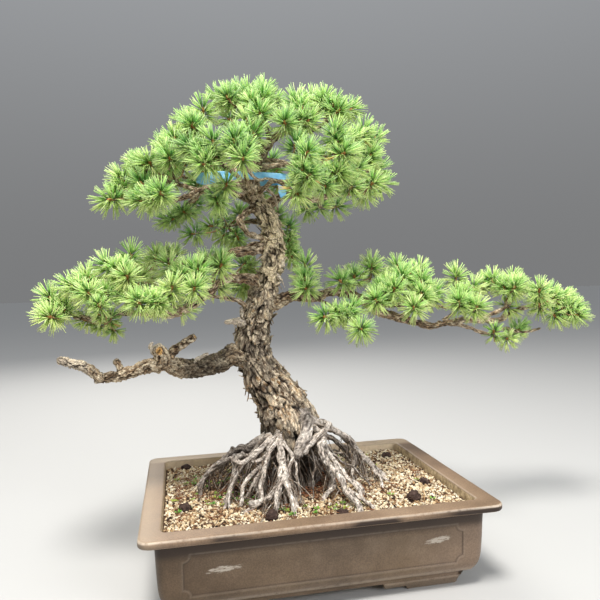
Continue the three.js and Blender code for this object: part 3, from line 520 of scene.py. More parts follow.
def grainGroup():
    # Fibres that run along a limb and small scales between them: noise and cells on the limb laid out
    # straight, both stretched along it.
    group, given, out = makeGroup(
        "grain", {"Width": 1.2, "Stretch": 7.0, "Flake": 3.0}, ("Fibres", "Scales", "Cracks"))

    def stretched(width, stretch):
        across = maths(group, "DIVIDE", 1.0, width)
        return laidOut(group, across, maths(group, "DIVIDE", across, stretch))

    fibres = noise(group, stretched(given["Width"], given["Stretch"]), 1.0, 5.0, 0.65)
    place = stretched(given["Flake"], 2.2)
    bent = noise(group, place, 1.4, 2.0)["Color"]
    place = addNode(group, "ShaderNodeVectorMath", {0: bent, 1: place}, operation="ADD").outputs["Vector"]
    cells, rims = (addNode(group, "ShaderNodeTexVoronoi", {"Vector": place, "Scale": 1.0}, feature=kind)
                   for kind in ("F1", "DISTANCE_TO_EDGE"))
    own = addNode(group, "ShaderNodeSeparateColor", {"Color": cells.outputs["Color"]})
    group.links.new(fibres["Fac"], out["Fibres"])
    group.links.new(own.outputs["Red"], out["Scales"])
    group.links.new(between(group, rims.outputs["Distance"], 0.12, 0.0), out["Cracks"])
    return group


mottle = mottleGroup()
grain = grainGroup()


def newMaterial(name, roughness=0.6, specular=0.4):
    material = bpy.data.materials.new(name)
    material.use_nodes = True
    shader = material.node_tree.nodes["Principled BSDF"]
    shader.inputs["Roughness"].default_value = roughness
    shader.inputs["Specular IOR Level"].default_value = specular
    return material, material.node_tree


def painted(material, tone, height=None, strength=0.0, distance=0.0):
    # The colour, and a bump where a height is given, joined to the material's shader.
    tree = material.node_tree
    shader = tree.nodes["Principled BSDF"]
    tree.links.new(tone, shader.inputs["Base Color"])
    if height:
        bump = addNode(tree, "ShaderNodeBump", {
            "Height": height, "Strength": strength, "Distance": distance})
        tree.links.new(bump.outputs["Normal"], shader.inputs["Normal"])
    return material


def patchyMaterial(name, stops, patch, speckle, roughness, specular=0.4, bump=(0.0, 0.0)):
    # Colour by broad patches, with a fine speckle raised by the bump's strength and distance.
    material, tree = newMaterial(name, roughness, specular)
    marks = useGroup(tree, mottle, Patch=patch, Speckle=speckle)
    raised = marks["Speckles"] if bump[0] else None
    return painted(material, ramp(tree, marks["Patches"], stops), raised, *bump)


def tonedMaterial(name, stops, roughness):
    # Colour by the tone that each small shape has of its own.
    material, tree = newMaterial(name, roughness)
    return painted(material, ramp(tree, attribute(tree, "tone"), stops))


# Pot

pot = {
    "width": 450.0,
    "depth": 347.0,
    "floorTop": 24.0,
    "apronBottom": 12.4,
    "apronInset": 40.0,
    "lipInset": 48.0,
    "straight": (181.0, 129.0),  # the long and short sides run straight up to here
    "panel": (175.0, 123.0),
    # the wall's inset at height z is 17.6 + 3.6 t + 7.9 t^9, with t = (104.5 - z) / 82
    "wall": (17.6, 3.6, 7.9),
    "wallTop": 104.5,
    "wallHeight": 82.0,
    "wallCorner": 12.5,
    "rimBottom": 105.3,
    "rimTop": 113.6,
    "cornerWear": (215.0, 165.0, 22.0),  # middle x and y, and reach
    "wallBand": (30.0, 100.0),  # heights between which the panel may be cut
    "panelLow": 38.0,
    "panelHigh": 87.5,
    "notch": 9.0,
    "recess": 0.9,
    # dirt with painted shade on the wall under the rim's overhang: heights it comes in over, and its top
    "dirtAndShadeBand": (79.0, 92.0),
    "dirtAndShadeTop": 105.0,
    "footInset": 45.0,
    "footBand": 17.0,
    "footCorner": 8.0,
    "footStep": 5.0,
    # along the long and short sides, a foot stands on the ground past the first number, is stepped up
    # from there and ends at the second
    "footLong": (107.0, 74.0),
    "footShort": (76.0, 50.0),
    "drainOffset": 95.0,
    "drainRadius": 15.0,
    "screenNodes": ("drain_screen_left", "drain_screen_right"),
    # chalky rubs on the front wall: middle x and z, half length, half height, slope
    "rubs": ((-128.0, 66.5, 27.0, 4.6, 0.05), (141.0, 70.5, 25.0, 5.2, 0.14)),
}


def softened(corners):
    # A line through the corners, each replaced by a curve that leaves and meets its two sides at the
    # given distance: (1-t)^2 a + 2t(1-t) corner + t^2 b. It never takes half of a side.
    points = np.array([c[:3] for c in corners], dtype=float)
    line = [points[0]]
    for i in range(1, len(points) - 1):
        reach = corners[i][3]
        into = points[i - 1] - points[i]
        away = points[i + 1] - points[i]
        a, b = (points[i] + side * min(reach / np.linalg.norm(side[:2]), 0.48) for side in (into, away))
        for t in np.linspace(0, 1, 5):
            line.append((1 - t) ** 2 * a + 2 * t * (1 - t) * points[i] + t**2 * b)
    line.append(points[-1])
    return np.array(line)


def potSection():
    # Inset, height and corner radius from the foot of the apron, up the wall, over the rim and down
    # inside.
    low, high, notch = pot["panelLow"], pot["panelHigh"], pot["notch"]
    fineLow = np.concatenate([
        [low - 3], np.arange(low - 1.3, low + 1.4, 0.5), np.arange(low + 2, low + notch + 3, 1.25)])
    fineHigh = high + low - fineLow[::-1]
    heights = np.concatenate([[23.5, 25, 27, 29.5, 32.5], fineLow, [59, 66], fineHigh, [94, 98, 101]])
    t = (pot["wallTop"] - heights) / pot["wallHeight"]
    inset, lean, foot = pot["wall"]
    corner = pot["wallCorner"]
    wall = np.stack([inset + lean * t + foot * t**9, heights, np.full(len(heights), corner)], axis=1)
    lip, apron, bottom = pot["lipInset"], pot["apronInset"], pot["apronBottom"]
    below = softened([
        (lip, bottom, 1, 0), (apron, bottom, 9, 1.2), (apron - 0.5, 18, 9, 1.5), (31.5, 22.3, 11, 3),
        (*wall[0], 0)])
    rim = softened([
        (*wall[-1], 0), (17.5, 105.2, corner, 1.6), (0.2, 105.4, 14, 3.2), (0, 115, 14, 3.6),
        (26, 115.2, 8, 2.6), (28, 95, 8, 0)])
    inside = [(30, 75, 8), (33, 45, 8), (36, 32, 8), (40, pot["floorTop"], 8), (lip, pot["floorTop"], 1)]
    return np.vstack([below[:-1], wall, rim[1:], np.array(inside, dtype=float)])


def sideStations(straight, panel):
    # Stations along one straight side, close together where the panel's ends are.
    inner = panel - pot["notch"] - 3
    coarse = np.linspace(-inner + 1.5, inner - 1.5, 24)
    fine = np.concatenate([np.arange(inner, panel - 1.6, 1.25), np.arange(panel - 1.2, panel + 1.3, 0.5),
                           [panel + 2.5, straight]])
    return np.concatenate([-fine[::-1], coarse, fine])


def outlinePoints(inset, z, corner):
    # One closed outline round the pot, from the left end of the front: front, right side, back and
    # left side, with quarter circles of the corner radius between them.
    longSide, shortSide = (sideStations(*ends) for ends in zip(pot["straight"], pot["panel"]))
    turns = np.linspace(0, np.pi / 2, 9)
    halfX, halfY = pot["width"] / 2 - inset, pot["depth"] / 2 - inset
    middleX, middleY = halfX - corner, halfY - corner
    front = np.stack([longSide, np.full(len(longSide), -halfY)], axis=1)
    right = np.stack([np.full(len(shortSide), halfX), shortSide], axis=1)
    parts = []
    for side, (sx, sy, start) in zip(
            (front, right, -front, -right), ((1, -1, -0.5), (1, 1, 0), (-1, 1, 0.5), (-1, -1, 1))):
        angle = start * np.pi + turns
        arc = np.stack([sx * middleX + corner * np.cos(angle),
                        sy * middleY + corner * np.sin(angle)], axis=1)
        parts += [side, arc]
    flat = np.concatenate(parts)
    return np.column_stack([flat, np.full(len(flat), z)])


def panelDistance(along, height, half):
    # Distance out from the sunk panel's outline, less than nothing inside it: a rectangle with a
    # quarter circle bitten out of each corner.
    middle = (pot["panelLow"] + pot["panelHigh"]) / 2
    reach = (pot["panelHigh"] - pot["panelLow"]) / 2
    outX, outZ = np.abs(along) - half, np.abs(height - middle) - reach
    bite = pot["notch"] - np.hypot(outX, outZ)
    return np.maximum(np.maximum(outX, outZ), bite)


def potSurface():
    # The section's outlines joined into one closed skin: a line panel sunk into each wall, slow
    # unevenness inwards, and masks for worn edges with painted highlights, for stains, dirt and
    # painted shade, the inner side and the rim.
    surface = Surface()
    section = potSection()
    rings = np.array([outlinePoints(inset, z, corner) for inset, z, corner in section])
    x, y, z = rings[..., 0], rings[..., 1], rings[..., 2]
    inset = section[:, 0][:, None] * np.ones_like(x)
    outer = (np.arange(len(section))[:, None] * np.ones_like(x)) < np.argmax(section[:, 1])
    onFront = np.abs(y) > pot["depth"] / 2 - inset - 0.01
    onSide = np.abs(x) > pot["width"] / 2 - inset - 0.01
    far = 30.0
    away = np.full(x.shape, far)
    for onWall, along, straight, panel in zip((onFront, onSide), (x, y), pot["straight"], pot["panel"]):
        flat = onWall & (np.abs(along) <= straight + 0.01)
        away = np.where(flat, panelDistance(along, z, panel), away)
    bandLow, bandHigh = pot["wallBand"]
    away = np.where(outer & (z > bandLow) & (z < bandHigh), away, far)
    depth = pot["recess"] * (1 - fade(away, -0.8, 0.5))
    # Painted shade: a dark line in the panel's sunk edge, and a band on the wall under the rim's overhang
    # with dirt there too. Real stains on the rim's face join them.
    groove = 0.75 * bell(away, -0.7, 1.1)
    groove = np.maximum(groove, 1.35 * fade(z, *pot["dirtAndShadeBand"]) * outer * (z < pot["dirtAndShadeTop"]))
    stained = 1.3 * fade(softNoise(x / 34, y / 34, z / 10, 12), 0.5, 0.75) + 0.5 * (z < 111)
    groove = np.maximum(groove, stained * ((z > pot["rimBottom"]) & (inset < 0.7)))
    # Painted highlight: a pale line just outside the panel's edge.
    ridgeHighlight = bell(away, 1.3, 0.9)
    inward = np.stack([-np.sign(x) * onSide, -np.sign(y) * onFront * ~onSide, 0 * x], axis=-1)
    rings = rings + inward * depth[..., None]
    uneven = 0.75 * (softNoise(x / 60, y / 60, z / 40, 5) - 1)
    outward = unit(np.stack([x / pot["width"], y / pot["depth"], 0 * x], axis=-1))
    rings = rings + outward * (0.8 * uneven * (z > 20))[..., None]
    rings[..., 2] += 0.5 * (softNoise(x / 50, y / 50, z / 60, 6) - 0.5) * (z > bandHigh)
    across, height = section[:, 0], section[:, 1]
    # The rim's outer and inner arrises and the wall's foot are worn pale; the rim's outer arris line is also
    # a painted highlight.
    arris = bell(across, 0.5, 0.7) * (height > 111.5)
    arris = np.maximum(arris, 0.5 * bell(across, 25.3, 1.0) * (height > 112))
    arris = np.maximum(arris, 0.5 * bell(height, 26, 2.5) * (across < 31))
    cornerX, cornerY, reach = pot["cornerWear"]
    corners = bell(np.hypot(np.abs(x) - cornerX, np.abs(y) - cornerY), 0.0, reach)
    worn = np.maximum(arris[:, None] * (0.55 + 0.5 * corners), 0.12 * ridgeHighlight)
    surface.addLoop(rings, wear=worn, inner=1.0 * (~outer & (z < pot["rimTop"])),
                    rim=1.0 * (z > pot["rimBottom"]), groove=groove)
    addFloor(surface)
    addFeet(surface)
    return surface


def addFloor(surface):
    # The floor in two halves, each a ring between a round drain and half of the floor's rectangle.
    halfX, halfY = pot["width"] / 2 - pot["apronInset"] - 4, pot["depth"] / 2 - pot["apronInset"] - 4
    for side in (-1, 1):
        edges = [(0, -halfY), (side * halfX, -halfY), (side * halfX, halfY), (0, halfY), (0, -halfY)]
        t = np.linspace(0, 1, 16, endpoint=False)[:, None]
        outline = np.concatenate([
            np.array(a) * (1 - t) + np.array(b) * t for a, b in zip(edges[:-1], edges[1:])])
        middle = np.array([side * pot["drainOffset"], 0.0])
        hole = middle + unit(outline - middle) * pot["drainRadius"]
        low, high = pot["apronBottom"] + 0.02, pot["floorTop"] - 0.02
        rings = np.array([np.column_stack([flat, np.full(len(flat), z)])
                          for flat, z in ((hole, low), (outline, low), (outline, high), (hole, high))])
        if side < 0:
            rings = rings[:, ::-1]
        surface.addLoop(rings, wear=0.1, inner=0.3, rim=0.0)


def footUnder(place, wide, narrow):
    # Height of a foot's underside: on the ground past wide, a step, then up to the apron at narrow.
    step = pot["footStep"]
    low = step * (1 - fade(place, wide - 1.2, wide + 0.6))
    return low + (pot["apronBottom"] + 0.9 - step) * (1 - fade(place, narrow - 0.4, narrow + 3.2))


def addFeet(surface):
    # An L-shaped foot at each corner: a band that follows the outline, its underside stepped.
    corner, band = pot["footCorner"], pot["footBand"]
    outX, outY = pot["width"] / 2 - pot["footInset"], pot["depth"] / 2 - pot["footInset"]
    alongX = np.concatenate([np.arange(73.5, 79, 0.8), np.linspace(82, 104, 5), np.arange(105, 109, 0.8),
                             np.linspace(112, outX - corner, 10)])
    alongY = np.concatenate([np.linspace(outY - corner, 80, 6), np.arange(78.4, 73, -0.8),
                             np.linspace(71, 56, 4), np.arange(54, 49, -0.8)])
    turn = np.linspace(-np.pi / 2, 0, 8)[1:-1]
    arcX = outX - corner + corner * np.cos(turn)
    arcY = -(outY - corner) + corner * np.sin(turn)
    path = np.concatenate([
        np.column_stack([alongX, np.full(len(alongX), -outY)]),
        np.column_stack([arcX, arcY]),
        np.column_stack([np.full(len(alongY), outX), -alongY])])
    under = np.concatenate([
        footUnder(alongX, *pot["footLong"]), np.zeros(len(turn)), footUnder(alongY, *pot["footShort"])])
    inward = np.concatenate([
        np.tile([[0.0, 1.0]], (len(alongX), 1)), np.column_stack([-np.cos(turn), -np.sin(turn)]),
        np.tile([[-1.0, 0.0]], (len(alongY), 1))])
    top = pot["apronBottom"] + 3
    rows = []
    # The band's section: under it from outside to inside, up to the apron, and down its stepped outside.
    for i, (height, inset) in enumerate((
            (0, 1.0), (0, band - 1), (1, band), (top, band), (top, -4.4),
            (9.4, -4.4), (8.8, -2.3), (5.2, -2.0), (4.6, 0), (0.9, 0))):
        z = np.maximum(under + 0.06 * min(i, 9 - i), height)
        rows.append(np.column_stack([path + inward * inset, z]))
    rings = np.array(rows).transpose(1, 0, 2)
    for sx in (-1, 1):
        for sy in (-1, 1):
            turned = rings * np.array([sx, sy, 1.0])
            if sx * sy > 0:
                turned = turned[:, ::-1]
            surface.addTube(turned, wear=0.2, inner=0.0, rim=0.0)


def stonewareMaterial():
    # Brown clay with painted shade to the left and painted light to the right, a lighter rim, a pale
    # inner side, stains on the rim, dirt and painted shade under the rim, painted shade in the panel's
    # edge, painted light on the left and back, worn edges with painted highlights, and chalky rubs.
    material, tree = newMaterial("brownStoneware", specular=0.35)
    marks = useGroup(tree, mottle, Patch=14.0, Speckle=520.0)
    broad = useGroup(tree, mottle, Patch=5.0, Speckle=120.0)
    place, split = ownPlace(tree)
    rim, inner = attribute(tree, "rim"), attribute(tree, "inner")
    middleX, middleY = potMiddle[:2].tolist()
    wallTone = ramp(tree, marks["Patches"], [(0.3, 84, 69, 54), (0.5, 105, 88, 71), (0.72, 128, 110, 92)])
    rimTone = ramp(tree, marks["Patches"], [(0.3, 108, 87, 68), (0.5, 130, 107, 86), (0.72, 152, 129, 106)])
    # Painted shade on the wall's left end and painted light on its right end.
    for near, far, colour in ((-0.03, -0.21, tint(80, 60, 38)), (0.1, 0.21, tint(152, 130, 116))):
        share = between(tree, split["X"], middleX + near, middleX + far, 0.0, 0.5)
        wallTone = blend(tree, share, wallTone, colour)
    tone = blend(tree, rim, wallTone, rimTone)
    stain = between(tree, broad["Patches"], 0.42, 0.62, 0.0, 0.3)
    tone = blend(tree, stain, tone, tint(122, 100, 74))
    insideTone = ramp(tree, broad["Speckles"], [
        (0.35, 122, 102, 74), (0.5, 164, 143, 108), (0.68, 202, 184, 148)])
    tone = blend(tree, inner, tone, insideTone)
    tone = shaded(tree, tone, between(tree, marks["Speckles"], 0.38, 0.62, 0.82, 1.12))
    # Painted shade in the panel's edge and under the rim, with the dirt under the rim and the rim's stains.
    stainAndShadeShare = times(tree, attribute(tree, "groove"), 0.66, clamp=True)
    tone = blend(tree, stainAndShadeShare, tone, tint(48, 36, 29))
    # Painted light: the rim and inner walls lightened at the left end and at the back, where light and glare
    # fall.
    leftLit = between(tree, split["X"], middleX - 0.185, middleX - 0.215, 0.0, 0.22)
    backLit = between(tree, split["Y"], middleY + 0.13, middleY + 0.145, 0.0, 0.42)
    paintedLight = maths(tree, "MAXIMUM", leftLit, backLit)
    paintedLight = times(tree, paintedLight, maths(tree, "MAXIMUM", rim, times(tree, inner, 1.7)))
    tone = blend(tree, paintedLight, tone, tint(220, 198, 168))
    # Worn edges, with the painted highlights on the rim's arris and beside the panel's edge.
    worn = times(tree, attribute(tree, "wear"), between(tree, broad["Speckles"], 0.25, 0.5))
    tone = blend(tree, times(tree, worn, 0.75, clamp=True), tone, tint(224, 208, 188))
    tone = blend(tree, rubMask(tree, place, split), tone, tint(200, 189, 174))
    rough = between(tree, marks["Patches"], 0.3, 0.7, 0.42, 0.6)
    tree.links.new(rough, tree.nodes["Principled BSDF"].inputs["Roughness"])
    return painted(material, tone, marks["Speckles"], 0.25, 0.0004)


def rubMask(tree, place, split):
    # Chalky rubs: ellipses on the front wall, broken into short strokes by stretched noise.
    stretched = addNode(tree, "ShaderNodeMapping", {
        "Vector": place, "Rotation": (0.0, 0.2, 0.0), "Scale": (110.0, 10.0, 620.0)}).outputs["Vector"]
    strokes = noise(tree, stretched, 1.0, 5.0, 0.75)["Fac"]
    middleX, middleY = potMiddle[:2].tolist()
    total = 0.0
    for x, z, length, height, slope in pot["rubs"]:
        fromX = maths(tree, "SUBTRACT", split["X"], x * metre + middleX)
        fromZ = maths(tree, "SUBTRACT", split["Z"], z * metre)
        fromZ = maths(tree, "SUBTRACT", fromZ, times(tree, fromX, slope))
        wide = maths(tree, "POWER", maths(tree, "DIVIDE", fromX, length * metre), 2.0)
        tall = maths(tree, "POWER", maths(tree, "DIVIDE", fromZ, height * metre), 2.0)
        spot = between(tree, maths(tree, "ADD", wide, tall), 1.1, 0.1)
        total = maths(tree, "MAXIMUM", total, spot)
    front = between(tree, split["Y"], middleY - 0.145, middleY - 0.147)
    broken = between(tree, mixture(tree, (strokes, 1.0), (total, 0.3)), 0.66, 0.78, 0.0, 0.75)
    return times(tree, times(tree, broken, front), maths(tree, "GREATER_THAN", total, 0.01))


makePiece("stonewarePot", potSurface(), [stonewareMaterial()], ["pot"])
print("pot made")

# Soil: a bed of grit, loose grains over it, litter and small weeds

soil = {
    "edge": 103.0,
    "mound": 8.0,
    "spread": 95.0,
    "topInset": 27.3,
    "bottomInset": 41.0,
    "bottom": 24.6,
    "grainSpacing": 3.9,
    "grainRadius": (1.4, 2.9),
    "underRoots": (-38.0, 4.0, 66.0),  # dark grains: middle x and y, and reach
    "backLeft": (-86.0, 38.0, 34.0, 52.0),  # the same, with a reach along x and one along y
    "litterCount": 960,
    "litterMiddle": (-25.0, -8.0),
    "litterEdge": (178.0, 128.0),
    "litterLength": (12.0, 27.0),
    "litterRadius": 0.55,
    "litterSpread": (58.0, 120.0),
    "weedCount": 92,
    "weedLeaves": 5,
    # x and y that weeds stand between on the left and right, and y for those in front of the roots
    "weedsLeft": ((-184.0, -70.0), (-70.0, 90.0)),
    "weedsRight": ((-60.0, 184.0), (-130.0, 140.0)),
    "weedsFront": (-124.0, -98.0),
    "leafSize": (1.4, 3.4),
}


def soilHeight(x, y):
    # A low mound: edge + mound exp(-(x^2 + (y + 10)^2) / (2 spread^2)).
    return soil["edge"] + soil["mound"] * np.exp(-(x**2 + (y + 10) ** 2) / (2 * soil["spread"] ** 2))


def unevenness(x, y):
    # Low lumps in the bed, which the grains follow.
    return 1.4 * (softNoise(x / 14, y / 14, 0 * x, 22) - 0.5)


def soilSurface():
    # The top as a fine height field, walls from its edge down to a smaller edge, and one flat face.
    surface = Surface()
    u, v = np.meshgrid(np.linspace(-1, 1, 96), np.linspace(-1, 1, 70), indexing="xy")
    halfX, halfY = pot["width"] / 2 - soil["topInset"], pot["depth"] / 2 - soil["topInset"]
    x, y = u * halfX, v * halfY
    fine = 1.6 * (softNoise(x / 5, y / 5, 0 * x, 21) - 0.5)
    top = np.stack([x, y, soilHeight(x, y) - 0.8 + (fine + unevenness(x, y))], axis=-1)
    shrink = np.array([(pot["width"] / 2 - soil["bottomInset"]) / halfX,
                       (pot["depth"] / 2 - soil["bottomInset"]) / halfY])
    rows, columns = u.shape
    j, i = np.meshgrid(np.arange(rows - 1), np.arange(columns - 1), indexing="ij")
    a = (j * columns + i).ravel()
    upper = np.stack([a, a + 1, a + columns + 1, a + columns], axis=1)
    rim = np.concatenate([
        np.arange(columns - 1), np.arange(rows - 1) * columns + columns - 1,
        (rows - 1) * columns + np.arange(columns - 1, 0, -1), np.arange(rows - 1, 0, -1) * columns])
    top = top.reshape(-1, 3)
    under = top[rim] * [*shrink, 0.0] + [0, 0, soil["bottom"]]
    deep = len(top) + np.arange(len(rim))
    walls = np.stack([rim, deep, np.roll(deep, -1), np.roll(rim, -1)], axis=1)
    surface.add(np.concatenate([top, under]), [upper, walls, deep[None, ::-1]], tone=0.8)
    return surface


def chipShape():
    # A block with eight corners at unit distance and six faces, each cut into two triangles.
    corners = unit(np.array([(a, b, c) for c in (-1, 1) for b in (-1, 1) for a in (-1, 1)], dtype=float))
    quads = np.array([(0, 2, 3, 1), (4, 5, 7, 6), (0, 1, 5, 4), (1, 3, 7, 5), (3, 2, 6, 7), (2, 0, 4, 6)])
    return corners, np.concatenate([quads[:, [0, 1, 2]], quads[:, [0, 2, 3]]])


def turnsFor(random, count):
    # Rotation matrices from evenly spread unit quaternions.
    w, x, y, z = unit(random.normal(size=(count, 4))).T
    return np.array([
        [1 - 2 * (y * y + z * z), 2 * (x * y - z * w), 2 * (x * z + y * w)],
        [2 * (x * y + z * w), 1 - 2 * (x * x + z * z), 2 * (y * z - x * w)],
        [2 * (x * z - y * w), 2 * (y * z + x * w), 1 - 2 * (x * x + y * y)]]).transpose(2, 0, 1)


def grainSurface():
    # Angular grains: blocks with uneven corners, squashed and turned, on a jittered lattice.
    surface = Surface()
    random = np.random.default_rng(7)
    corners, faces = chipShape()
    halfX, halfY = pot["width"] / 2 - soil["topInset"] - 3, pot["depth"] / 2 - soil["topInset"] - 3
    step = soil["grainSpacing"]
    x, y = np.meshgrid(np.arange(-halfX, halfX, step), np.arange(-halfY, halfY, step * 0.866))
    x[::2] += step / 2
    x, y = x.ravel(), y.ravel()
    count = len(x)
    x = np.clip(x + random.uniform(-0.42, 0.42, count) * step, -halfX, halfX)
    y = np.clip(y + random.uniform(-0.42, 0.42, count) * step, -halfY, halfY)
    size = random.uniform(*soil["grainRadius"], count)
    shape = corners[None] + random.uniform(-0.3, 0.3, (count, 8, 3))
    shape = shape * random.uniform(0.62, 1.25, (count, 1, 3)) * size[:, None, None]
    shape = np.einsum("nij,nkj->nki", turnsFor(random, count), shape)
    height = soilHeight(x, y) + unevenness(x, y) + random.uniform(-0.8, 1.0, count)
    points = shape + np.stack([x, y, height], axis=-1)[:, None, :]
    # Darker grains near the roots and in the damp places.
    middleX, middleY, reach = soil["underRoots"]
    near = np.exp(-(((x - middleX) ** 2 / 1.9 + (y - middleY) ** 2) / reach**2) ** 1.8)
    middleX, middleY, reachX, reachY = soil["backLeft"]
    near = near + 0.5 * np.exp(-(((x - middleX) / reachX) ** 2 + ((y - middleY) / reachY) ** 2))
    damp = fade(softNoise(x / 26, y / 26, 0 * x, 27), 0.5, 0.8)
    tone = random.beta(1.15, 2.1, count) + (0.95 * near + 0.22 * damp) * random.uniform(0.25, 1, count)
    tone = np.clip(tone, 0, 1)
    surface.add(points, repeated([faces], count, 8), tone=np.repeat(tone, 8))
    return surface


def litterSurface():
    # Fallen needles: thin three-sided ones lying every way on the grit, thickest by the roots.
    surface = Surface()
    random = np.random.default_rng(19)
    count = soil["litterCount"]
    spread = np.where(random.uniform(size=count) < 0.65, *soil["litterSpread"])
    (middleX, middleY), (edgeX, edgeY) = soil["litterMiddle"], soil["litterEdge"]
    x = np.clip(random.normal(size=count) * spread + middleX, -edgeX, edgeX)
    y = np.clip(random.normal(size=count) * spread * 0.65 + middleY, -edgeY, edgeY)
    way = random.uniform(0, 2 * np.pi, count)
    tilt = random.uniform(-0.12, 0.12, count)
    direction = np.stack([np.cos(way), np.sin(way), tilt], axis=1)
    length = random.uniform(*soil["litterLength"], count)
    base = np.stack([x, y, soilHeight(x, y) + 2.6 + 0.5 * length * np.abs(tilt)], axis=1)
    base = base - direction * length[:, None] / 2
    bend = np.stack([-np.sin(way), np.cos(way), 0 * way], axis=1) * random.uniform(-0.2, 0.2, (count, 1))
    points, faces = needleBatch(unit(direction), base, length, bend, soil["litterRadius"], random)
    surface.add(points, faces, tone=np.repeat(random.uniform(0, 1, count), points.shape[1]))
    return surface


def weedSurface():
    # Small weeds: rosettes of short leaves, each leaf a flat closed diamond bent upwards.
    surface = Surface()
    random = np.random.default_rng(31)
    count, leaves = soil["weedCount"], soil["weedLeaves"]
    way = random.uniform(0, 2 * np.pi, count)
    onLeft = random.uniform(size=count) < 0.72
    x, y = (np.where(onLeft, random.uniform(*left, count), random.uniform(*right, count))
            for left, right in zip(soil["weedsLeft"], soil["weedsRight"]))
    y = np.where(~onLeft & (x < 70), random.uniform(*soil["weedsFront"], count), y)
    turn = (np.arange(leaves) * 2.4)[None, :] + way[:, None]
    size = random.uniform(*soil["leafSize"], (count, leaves))
    out = np.stack([np.cos(turn), np.sin(turn), 0 * turn + 0.5], axis=-1)
    across = np.stack([-np.sin(turn), np.cos(turn), 0 * turn], axis=-1)
    base = np.stack([x, y, soilHeight(x, y) + 2.0], axis=-1)[:, None, :] + 0.4 * out
    tips = base + out * (size * 1.7)[..., None]
    middle = base + out * size[..., None]
    half = across * (size * 0.6)[..., None]
    lift = np.array([0.0, 0.0, 0.35])
    points = np.stack([base, middle + half, tips, middle - half, middle + lift, middle - lift], axis=2)
    points = points.reshape(-1, 6, 3)
    k, n = roundSteps(4)
    faces = np.concatenate([np.stack([n, k, 0 * k + 4], axis=1), np.stack([k, n, 0 * k + 5], axis=1)])
    tone = np.repeat(random.uniform(0, 1, count), leaves * 6)
    surface.add(points, repeated([faces], count * leaves, 6), tone=tone)
    return surface


def needleBatch(direction, base, length, bend, radius, random):
    # Three-sided needles on base + length (t d + t^2 bend): a point at the foot, and rings at 0.35 and at
    # the blunt tip.
    side, across = squareTo(direction)
    spin = random.uniform(0, 2 * np.pi, (len(direction), 1)) + np.arange(3) * 2 * np.pi / 3
    star = spun(spin[..., None], side[:, None, :], across[:, None, :])

    def middle(t):
        return (base + length[:, None] * (t * direction + t**2 * bend))[:, None, :]

    k, n = roundSteps(3)
    quads = np.stack([1 + k, 1 + n, 4 + n, 4 + k], axis=1)
    ends = np.concatenate([np.stack([0 * k, 1 + n, 1 + k], axis=1), [[4, 5, 6]]])
    points = [base[:, None, :], middle(0.35) + radius * star, middle(1.0) + 0.55 * radius * star]
    return np.concatenate(points, axis=1), repeated([quads, ends], len(direction), 7)


def gritMaterial():
    # Each grain's tone from cream to dark brown, with a fine speckle.
    material, tree = newMaterial("clayGrit", roughness=0.85, specular=0.3)
    marks = useGroup(tree, mottle, Patch=60.0, Speckle=900.0)
    tone = ramp(tree, attribute(tree, "tone"), [
        (0.0, 246, 237, 214), (0.2, 234, 219, 188), (0.4, 210, 186, 148),
        (0.56, 172, 138, 100), (0.72, 106, 78, 56), (0.95, 42, 32, 26)])
    tone = shaded(tree, tone, between(tree, marks["Speckles"], 0.3, 0.7, 0.72, 1.12))
    return painted(material, tone, marks["Speckles"], 0.5, 0.0005)


grit = gritMaterial()
makePiece("gritBed", soilSurface(), [grit], ["soil"])
makePiece("gritGrains", grainSurface(), [grit], smooth=False)
litter = tonedMaterial("dryNeedles", [(0.0, 104, 54, 32), (0.5, 150, 96, 60), (1.0, 74, 50, 36)], 0.7)
makePiece("fallenNeedles", litterSurface(), [litter])
weeds = tonedMaterial("smallWeeds", [(0.0, 84, 140, 48), (0.6, 122, 174, 66), (1.0, 176, 184, 78)], 0.5)
makePiece("smallWeeds", weedSurface(), [weeds])
print("soil made")

# Feed lumps: middle x and y, width, height and a seed, each standing in its own node

lumps = {
    "feed_lump_1": (-170, -56, 17, 13, 3),
    "feed_lump_2": (-166, 132, 16, 11, 5),
    "feed_lump_3": (-65, -122, 17, 16, 7),
    "feed_lump_4": (24, -130, 16, 10, 11),
    "feed_lump_5": (131, -100, 19, 15, 13),
    "feed_lump_6": (172, -41, 16, 11, 17),
    "feed_lump_7": (165, 102, 17, 11, 19),
}
lumpSunk = 3.0


def lumpSurface(x, y, width, height, seed):
    # A crumbling lump: radius width/2 times sin(pi (0.16 + 0.8 t))^0.6 at height t, broken by cells.
    surface = Surface()
    angle = turnAngles(30)[None, :]
    t = np.linspace(0, 1, 20)[:, None] * np.ones_like(angle)
    radius = width / 2 * np.sin(np.pi * (0.16 + 0.8 * t)) ** 0.6
    flat = np.stack([radius * np.cos(angle), radius * np.sin(angle), t * height], axis=-1)
    gap, tone, _ = plates(*(flat[..., k] / 4.2 for k in range(3)), seed * 3)
    swell = 1.9 * (tone - 0.5) - 1.3 * bell(gap, 0.0, 0.12)
    swell = swell + 1.2 * (softNoise(*(flat[..., k] / 1.6 for k in range(3)), seed) - 0.5)
    outward = unit(flat - np.array([0, 0, height * 0.4]))
    rings = flat + outward * swell[..., None]
    rings = rings + np.array([x, y, soilHeight(x, y) - lumpSunk])
    surface.addTube(rings)
    return surface


feed = patchyMaterial("driedFeed", [(0.3, 38, 29, 27), (0.55, 70, 54, 48), (0.75, 112, 92, 82)],
                      180.0, 1400.0, 0.9, 0.25, (0.7, 0.0006))
for node, values in lumps.items():
    makePiece(f"crumbly_{node}", lumpSurface(*values), [feed], [node])
print("feed lumps made")

# Tree: the same runs as the solids

